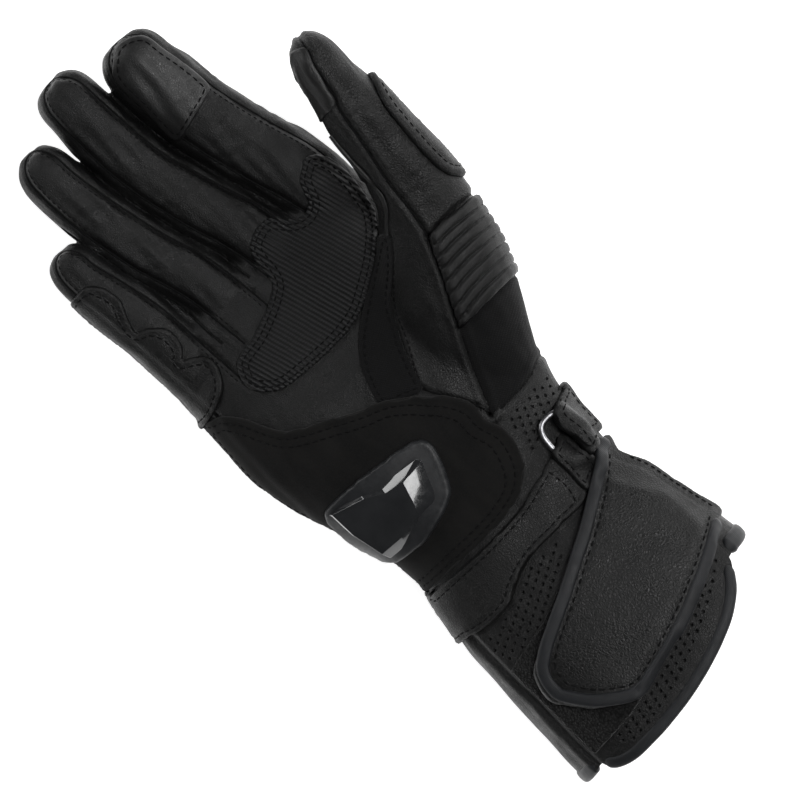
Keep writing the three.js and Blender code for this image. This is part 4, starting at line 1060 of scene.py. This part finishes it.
WEB_EDGE = [(48, 82), (47.2, 76), (46.8, 70), (46.6, 66), (46.4, 60), (45.8, 55), (43.8, 50), (40, 46), (36.5, 42),
            (32, 37)]
web_edge = tubes("web_edge", [line_on_skin(WEB_EDGE, 0.35, 6, 18)], 2.0, 1.7, 12)
# Dark tubes with the thread look laid along the seam grooves: painted shade in the grooves.
lines = [line_on_skin(finger_seam(n), -0.05) for n in FINGERS]
lines += [line_on_skin(THUMB_SEAM[(THUMB_SEAM[:, 1] > -22) & (THUMB_SEAM[:, 1] < 111)], -0.05, 3, 20)]
lines += [line_on_skin([(seam_x(RIB_BOTTOM), RIB_BOTTOM), (45, 2.9), (52, 2.7)], 0.0, 3, 20)]
lines += [line_on_skin([(11, 3), (8, -1), (11, -8), (15.5, -17)], 0.0, 3, 20)]
seam_shade_lines = tubes("seam_shade_lines", lines, 0.75, 0.6)

# Stitches along the seams.
for piece, rows in ((strip, (2.0,)), (heel, (2.0, 4.6)), (guard, (2.2,)), (tip, (1.6,)),
                    (strap, (2.4,)), (strap_end, (2.0,)), (tab, (2.4,)), (thumb_guard, (3.4,))):
    for d in rows:
        sew(piece.row(d))
for d in (1.7, 3.9):
    sew(grip.row(d), 2.6, 1.8)
sew(edge_row(flap, BOUND_EDGE, 4.4), 3.4, 2.2, 0.34, closed=False)
sew(edge_row(flap, [(50.2, -104), (49, -98), (46.5, -87), (44, -76), (42.2, -66)], 1.6), 2.6, 1.8, closed=False)
for n in FINGERS:
    line = finger_seam(n, 4.9)
    sew(line_on_skin(line, 0.0, 2, 12)[6:-6], 2.4, 1.5, 0.22, closed=False)
sew(line_on_skin([(19, -24), (17, -19), (12, -10), (9, -3), (11, 3), (16.5, 13), (21.5, 24), (30, 33), (36, 39.5)],
                 0.05, 3, 20), 2.6, 1.8, closed=False)
stitches = stitch_mesh("stitches")

# Materials, all from noise, cells and waves in the object's own space, in millimetres.
class Look:
    """A node material with helpers that take sizes in millimetres."""

    def __init__(self, name, colour, rough, **constants):
        self.mat = bpy.data.materials.new(name)
        self.mat.use_nodes = True
        self.nodes = self.mat.node_tree.nodes
        self.links = self.mat.node_tree.links
        self.shader = self.nodes["Principled BSDF"]
        self.shader.inputs["Base Color"].default_value = (*colour, 1)
        self.shader.inputs["Roughness"].default_value = rough
        for key, value in constants.items():
            self.shader.inputs[key.replace("_", " ")].default_value = value
        self.place = self.nodes.new("ShaderNodeTexCoord").outputs["Object"]
        self.high = None

    def node(self, kind, **settings):
        n = self.nodes.new("ShaderNode" + kind)
        for key, value in settings.items():
            if hasattr(n, key):
                setattr(n, key, value)
            else:
                n.inputs[key].default_value = value
        return n

    def link(self, out, node, socket):
        self.links.new(out, node.inputs[socket])
        return node

    def math(self, kind, a, b):
        n = self.node("Math", operation=kind)
        for i, v in enumerate((a, b)):
            if isinstance(v, (int, float)):
                n.inputs[i].default_value = v
            else:
                self.links.new(v, n.inputs[i])
        return n.outputs[0]

    def spun(self, turn=(0, 0, 0), stretch=(1, 1, 1), place=None):
        n = self.node("Mapping")
        n.inputs["Rotation"].default_value = [math.radians(t) for t in turn]
        n.inputs["Scale"].default_value = stretch
        return self.link(place or self.place, n, "Vector").outputs[0]

    def warped(self, size, amount, place=None):
        """The place shaken by a noise of that size, by that much."""
        noise = self.node("TexNoise", Scale=1000 / size, Detail=2)
        self.link(place or self.place, noise, "Vector")
        mid = self.node("VectorMath", operation="SUBTRACT")
        mid.inputs[1].default_value = (0.5, 0.5, 0.5)
        self.link(noise.outputs["Color"], mid, 0)
        scale = self.node("VectorMath", operation="SCALE")
        scale.inputs["Scale"].default_value = amount / 500
        self.link(mid.outputs[0], scale, 0)
        add = self.node("VectorMath", operation="ADD")
        self.link(place or self.place, add, 0)
        self.link(scale.outputs[0], add, 1)
        return add.outputs[0]

    def noise(self, size, detail=3, rough=0.55, place=None):
        n = self.node("TexNoise", Scale=1000 / size, Detail=detail, Roughness=rough)
        return self.link(place or self.place, n, "Vector").outputs["Fac"]

    def cells(self, size, place=None, feature="DISTANCE_TO_EDGE"):
        n = self.node("TexVoronoi", feature=feature, Scale=1000 / size)
        return self.link(place or self.place, n, "Vector").outputs["Distance"]

    def bands(self, size, along="X", place=None, warp=0.0):
        """Waves with that pitch."""
        n = self.node("TexWave", bands_direction=along, Scale=1000 / size / 20 * 2 * math.pi, Distortion=warp)
        n.inputs["Detail"].default_value = 1
        return self.link(place or self.place, n, "Vector").outputs["Fac"]

    def ranged(self, value, a, b, c, d, smooth=False):
        n = self.node("MapRange")
        if smooth:
            n.interpolation_type = "SMOOTHSTEP"
        for key, v in zip(("From Min", "From Max", "To Min", "To Max"), (a, b, c, d)):
            n.inputs[key].default_value = v
        return self.link(value, n, "Value").outputs[0]

    def bump(self, value, height, strength=1.0):
        """Adds a relief of that height."""
        n = self.node("Bump", Strength=strength, Distance=height / 1000)
        self.link(value, n, "Height")
        if self.high is not None:
            self.link(self.high, n, "Normal")
        self.high = n.outputs[0]
        self.links.new(self.high, self.shader.inputs["Normal"])

    def colours(self, value, dark, light, a=0.35, b=0.65):
        n = self.node("ValToRGB")
        n.color_ramp.elements[0].position, n.color_ramp.elements[1].position = a, b
        n.color_ramp.elements[0].color = (*dark, 1)
        n.color_ramp.elements[1].color = (*light, 1)
        self.link(value, n, "Fac")
        return n.outputs[0]

    def paint(self, colour):
        self.links.new(colour, self.shader.inputs["Base Color"])

    def roughness(self, value):
        self.links.new(value, self.shader.inputs["Roughness"])

    def mixed(self, factor, a, b):
        n = self.node("Mix", data_type="RGBA")
        self.links.new(factor, n.inputs[0])
        self.links.new(a, n.inputs[6])
        self.links.new(b, n.inputs[7])
        return n.outputs[2]


def leather(name, tone=0.0045, rough=(0.34, 0.5), cell=1.0, depth=0.07, fold=0.25, specular=0.36):
    """Black leather: grain cells with fine pores, painted shade in the grain's grooves, soft folds, and worn, shinier
    high places.
    """
    m = Look(name, (tone,) * 3, rough[0], Specular_IOR_Level=specular)
    shaken = m.warped(cell * 2.5, cell * 0.45)
    grain = m.ranged(m.cells(cell, shaken), 0.0, 0.28, 0, 1, True)
    small = m.ranged(m.cells(cell * 0.45, shaken), 0.0, 0.3, 0, 1, True)
    folds = m.noise(9, 4, 0.5)
    streaks = m.noise(3.2, 5, 0.6, m.warped(12, 3, m.spun((0, 0, 12), (1, 0.3, 1))))
    broad = m.noise(38, 2, 0.5)
    m.bump(folds, fold)
    m.bump(streaks, fold * 0.8)
    m.bump(small, depth * 0.45)
    m.bump(grain, depth)
    m.bump(m.noise(0.35, 2), depth * 0.25)
    body = m.colours(broad, (tone * 0.85,) * 3, (tone * 1.25, tone * 1.27, tone * 1.33))
    # The grain's grooves are painted darker than its cells: painted shade, blended in most where the grain is lowest.
    groove_shade = m.colours(grain, (tone * 0.55,) * 3, (tone * 1.1,) * 3, 0.0, 0.5)
    m.paint(m.mixed(m.ranged(grain, 0, 1, 0.75, 0.12), body, groove_shade))
    high = m.ranged(folds, 0.35, 0.65, rough[1], rough[0])
    m.roughness(m.math("ADD", high, m.ranged(grain, 0, 1, 0.12, -0.02)))
    return m


def cloth(name, dark, light, pitch=0.55, depth=0.12, rough=0.85, sheen=0.25, turn=35):
    """A woven stretch cloth: two crossing sets of fine threads, with painted shade between them."""
    m = Look(name, dark, rough, Sheen_Weight=sheen, Sheen_Roughness=0.5, Specular_IOR_Level=0.2)
    place = m.warped(6, 0.25, m.spun((0, 0, turn)))
    one = m.bands(pitch, "X", place)
    two = m.bands(pitch * 1.15, "Y", place)
    weave = m.math("MULTIPLY", one, two)
    m.bump(m.noise(7, 3), 0.2)
    m.bump(weave, depth)
    fuzz = m.noise(0.3, 2)
    m.bump(fuzz, depth * 0.5)
    # Darker between the threads and lighter on them: painted shade and painted light that follow the weave's relief.
    m.paint(m.colours(m.math("ADD", weave, m.ranged(fuzz, 0.3, 0.7, -0.15, 0.15)), dark, light, 0.1, 0.9))
    m.roughness(m.ranged(fuzz, 0.3, 0.7, rough - 0.1, min(1, rough + 0.1)))
    return m


LOOKS = {}
LOOKS["leather"] = leather("leather_grain")
LOOKS["fine_leather"] = leather("leather_fine", 0.005, (0.34, 0.48), 0.75, 0.06, 0.3)
LOOKS["thumb_leather"] = leather("leather_wrinkled", 0.005, (0.33, 0.47), 1.1, 0.09, 0.4)
LOOKS["flap_leather"] = leather("leather_pebbled", 0.005, (0.33, 0.45), 1.25, 0.08, 0.12, 0.42)
LOOKS["smooth_leather"] = leather("leather_smooth", 0.009, (0.32, 0.42), 0.8, 0.03, 0.12, 0.5)
LOOKS["rib_leather"] = leather("leather_ribs", 0.0045, (0.32, 0.46), 0.6, 0.04, 0.1)
LOOKS["perforated_leather"] = leather("leather_perforated", 0.005, (0.36, 0.52), 0.9, 0.07, 0.15)
LOOKS["stretch_fabric"] = cloth("stretch_cloth", (0.0025,) * 3, (0.008, 0.008, 0.0092), sheen=0.08)
LOOKS["lining"] = cloth("lining_cloth", (0.01,) * 3, (0.035, 0.035, 0.037), 0.9, 0.15, 0.95, 0.2)

m = Look("suede", (0.008, 0.0075, 0.007), 0.95, Sheen_Weight=0.05, Sheen_Roughness=0.6, Specular_IOR_Level=0.12)
nap = m.noise(0.5, 4, 0.7)
m.bump(m.noise(5, 3), 0.15)
m.bump(nap, 0.12)
brushed = m.colours(m.noise(9, 4, 0.6, m.spun((0, 0, 30), (1, 0.45, 1))), (0.0055,) * 3, (0.0105, 0.010, 0.0096))
# Lighter where the nap stands high and darker where it is low, over the brushed tone: painted light and shade that
# follow the nap's relief.
m.paint(m.mixed(m.ranged(nap, 0.35, 0.7, 0, 0.6), brushed, m.colours(nap, (0.004,) * 3, (0.015, 0.0145, 0.014))))
m.roughness(m.ranged(nap, 0.3, 0.7, 0.88, 1.0))
LOOKS["suede"] = m

m = Look("grip_knit", (0.015,) * 3, 0.5, Specular_IOR_Level=0.4)
ribs_at = m.warped(5, 0.2, m.spun((0, 0, -15)))
rib = m.bands(1.6, "X", ribs_at)
knit = m.bands(0.9, "Y", m.warped(2, 0.5))
m.bump(m.noise(11, 3), 0.3)
m.bump(rib, 0.34)
m.bump(m.math("MULTIPLY", rib, knit), 0.2)
m.bump(m.noise(0.3, 2), 0.05)
# Dark in the grooves between ribs and knit loops and light on the rib crests: painted shade and painted highlight that
# follow the ribs' relief.
m.paint(m.colours(m.math("MULTIPLY", rib, m.ranged(knit, 0, 1, 0.6, 1)), (0.006,) * 3, (0.021, 0.0215, 0.0225), 0.05, 0.8))
m.roughness(m.ranged(m.noise(6, 3), 0.3, 0.7, 0.4, 0.6))
LOOKS["grip_fabric"] = m

m = Look("loop_pile", (0.006,) * 3, 1.0, Sheen_Weight=0.2, Sheen_Roughness=0.5, Specular_IOR_Level=0.1)
loops = m.cells(0.9, m.warped(1.2, 0.5), "F1")
m.bump(loops, 0.5)
m.bump(m.noise(0.25, 2), 0.15)
m.paint(m.colours(loops, (0.018,) * 3, (0.003,) * 3, 0.1, 0.75))
m.roughness(m.ranged(loops, 0, 1, 0.85, 1))
LOOKS["loop_pile"] = m

m = Look("binding_tape", (0.014, 0.016, 0.019), 0.45, Sheen_Weight=0.06, Sheen_Roughness=0.4, Specular_IOR_Level=0.4)
fine = m.math("MULTIPLY", m.bands(0.5, "X"), m.bands(0.45, "Y"))
m.bump(m.noise(5, 3), 0.15)
m.bump(fine, 0.06)
m.paint(m.colours(m.noise(14, 3), (0.0068, 0.0076, 0.0092), (0.0108, 0.012, 0.0145)))
m.roughness(m.ranged(m.noise(3, 3), 0.3, 0.7, 0.4, 0.58))
LOOKS["binding"] = m

m = Look("moulded_rubber", (0.02, 0.021, 0.023), 0.45, Specular_IOR_Level=0.4)
m.bump(m.noise(0.5, 3), 0.03)
m.bump(m.noise(6, 2), 0.08)
m.paint(m.colours(m.noise(4, 4), (0.0135, 0.0142, 0.0158), (0.019, 0.020, 0.022)))
m.roughness(m.ranged(m.noise(1.2, 4), 0.3, 0.7, 0.38, 0.55))
LOOKS["moulded_rubber"] = m

m = Look("gloss_insert", (0.018, 0.019, 0.0205), 0.1, Coat_Weight=0.8, Coat_Roughness=0.05)
m.bump(m.noise(12, 2), 0.05)
m.paint(m.colours(m.noise(8, 3), (0.015, 0.016, 0.0175), (0.022, 0.023, 0.025)))
m.roughness(m.ranged(m.noise(2, 4), 0.3, 0.7, 0.07, 0.2))
LOOKS["gloss_insert"] = m

m = Look("steel_ring", (0.3, 0.3, 0.31), 0.3, Metallic=1.0)
m.bump(m.noise(0.6, 3, 0.5, m.spun((0, 0, 40), (1, 0.2, 1))), 0.012)
m.paint(m.colours(m.noise(1.5, 3), (0.24, 0.24, 0.25), (0.36, 0.36, 0.375)))
m.roughness(m.ranged(m.noise(0.9, 3), 0.3, 0.7, 0.28, 0.42))
LOOKS["steel_ring"] = m

m = Look("thread", (0.003,) * 3, 0.8, Specular_IOR_Level=0.2)
m.bump(m.bands(0.35, "DIAGONAL"), 0.06)
m.paint(m.colours(m.noise(2.5, 3), (0.0012,) * 3, (0.005, 0.005, 0.0055)))
m.roughness(m.ranged(m.noise(0.4, 2), 0.3, 0.7, 0.7, 0.95))
LOOKS["thread"] = m

# Each piece with the nodes it stands for, its slot, and its look where that isn't the slot's.
PIECES = [
    (palm, ["palm_panel"], "leather", "fine_leather"),
    (back, ["back_panel"], "leather", "leather"),
    (thumb_outer, ["thumb_outer_panel"], "leather", "thumb_leather"),
    (thumb_inner, ["thumb_inner_panel"], "leather", "leather"),
    (ribs.obj, ["accordion_panel"], "leather", "rib_leather"),
    (stretch, ["stretch_panel"], "stretch_fabric"),
    (strip.obj, ["thenar_strip"], "stretch_fabric"), (heel.obj, ["heel_patch"], "suede"),
    (guard.obj, ["little_finger_guard"], "leather", "leather"), (grip.obj, ["grip_patch"], "grip_fabric"),
    (tip.obj, ["index_tip_patch"], "smooth_leather"), (thumb_tip.obj, ["thumb_tip_patch"], "smooth_leather"),
    (thumb_guard.obj, ["thumb_guard"], "leather"), (slider.obj, ["slider_frame"], "moulded_rubber"),
    (dome, ["slider_dome"], "gloss_insert"), (cuff_front, ["cuff_front"], "perforated_leather"),
    (cuff_back, ["cuff_back"], "leather"), (front_binding, ["cuff_front_binding"], "binding"),
    (back_binding, ["cuff_back_binding"], "binding"), (loop.obj, ["loop_pad"], "loop_pile"),
    (strap.obj, ["wrist_strap"], "leather"), (strap_end.obj, [], "leather"), (tab.obj, ["ring_tab"], "leather"),
    (d_ring, ["d_ring"], "steel_ring"), (flap.obj, ["closure_flap"], "leather", "flap_leather"),
    (flap_binding, ["flap_binding"], "binding"), (stitches, [], "leather", "thread"),
    # The seam tubes wear the thread look as painted shade in the seam grooves.
    (seam_shade_lines, [], "leather", "thread"), (web_edge, [], "leather", "smooth_leather"),
]
SHELLS = (palm, back, thumb_outer, thumb_inner, stretch, cuff_front, cuff_back)
for obj in SHELLS:
    middles = np.zeros(len(obj.data.polygons) * 3)
    obj.data.polygons.foreach_get("center", middles)
    deep = [(SKIN.find_nearest(Vector(c))[3] or 0) > 1.0 for c in middles.reshape(-1, 3)]
    obj.data.materials.clear()
    for index in (0, 1):
        obj.data.materials.append(LOOKS["lining"].mat)
    obj.data.polygons.foreach_set("material_index", np.array(deep, int))
for obj, nodes, slot, *look in PIECES:
    obj.data.transform(((0.001, 0, 0, 0), (0, 0.001, 0, 0), (0, 0, 0.001, 0), (0, 0, 0, 1)))
    obj.data.polygons.foreach_set("use_smooth", [True] * len(obj.data.polygons))
    if obj in SHELLS:
        obj.data.materials[0] = LOOKS[look[0] if look else slot].mat
    else:
        obj.data.materials.clear()
        obj.data.materials.append(LOOKS[look[0] if look else slot].mat)
    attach(obj, "root")
    if nodes:
        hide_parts(*nodes)
remove(base)

# A pale floor and soft light.
floor = mixed_object("floor", [(-6, -6, 0), (6, -6, 0), (6, 6, 0), (-6, 6, 0)], [(0, 1, 2, 3)])
m = Look("pale_floor", (0.92, 0.92, 0.92), 0.9, Specular_IOR_Level=0.1)
m.shader.inputs["Emission Color"].default_value = (1, 1, 1, 1)
m.shader.inputs["Emission Strength"].default_value = 0.85
floor.data.materials.append(m.mat)
world = bpy.data.worlds.new("world")
scene.world = world
world.use_nodes = True
world.node_tree.nodes["Background"].inputs["Color"].default_value = (1, 1, 1, 1)
world.node_tree.nodes["Background"].inputs["Strength"].default_value = 0.06


def area_light(name, at, size, power, size_y=None):
    data = bpy.data.lights.new(name, "AREA")
    data.shape = "RECTANGLE"
    data.size = size
    data.size_y = size_y or size
    data.energy = power
    lamp = bpy.data.objects.new(name, data)
    scene.collection.objects.link(lamp)
    lamp.location = at
    lamp.rotation_euler = (-Vector(at)).to_track_quat("-Z", "Y").to_euler()
    return lamp


scene.view_settings.view_transform = "Standard"
area_light("key", (0.5, -0.12, 1.35), 0.4, 8)
area_light("left", (-0.3, 1.15, 0.55), 0.5, 4)
area_light("facet", (-0.12, -0.7, 1.09), 0.26, 1.8)
area_light("low_right", (1.1, -0.1, 0.45), 0.3, 3.5, 0.7)
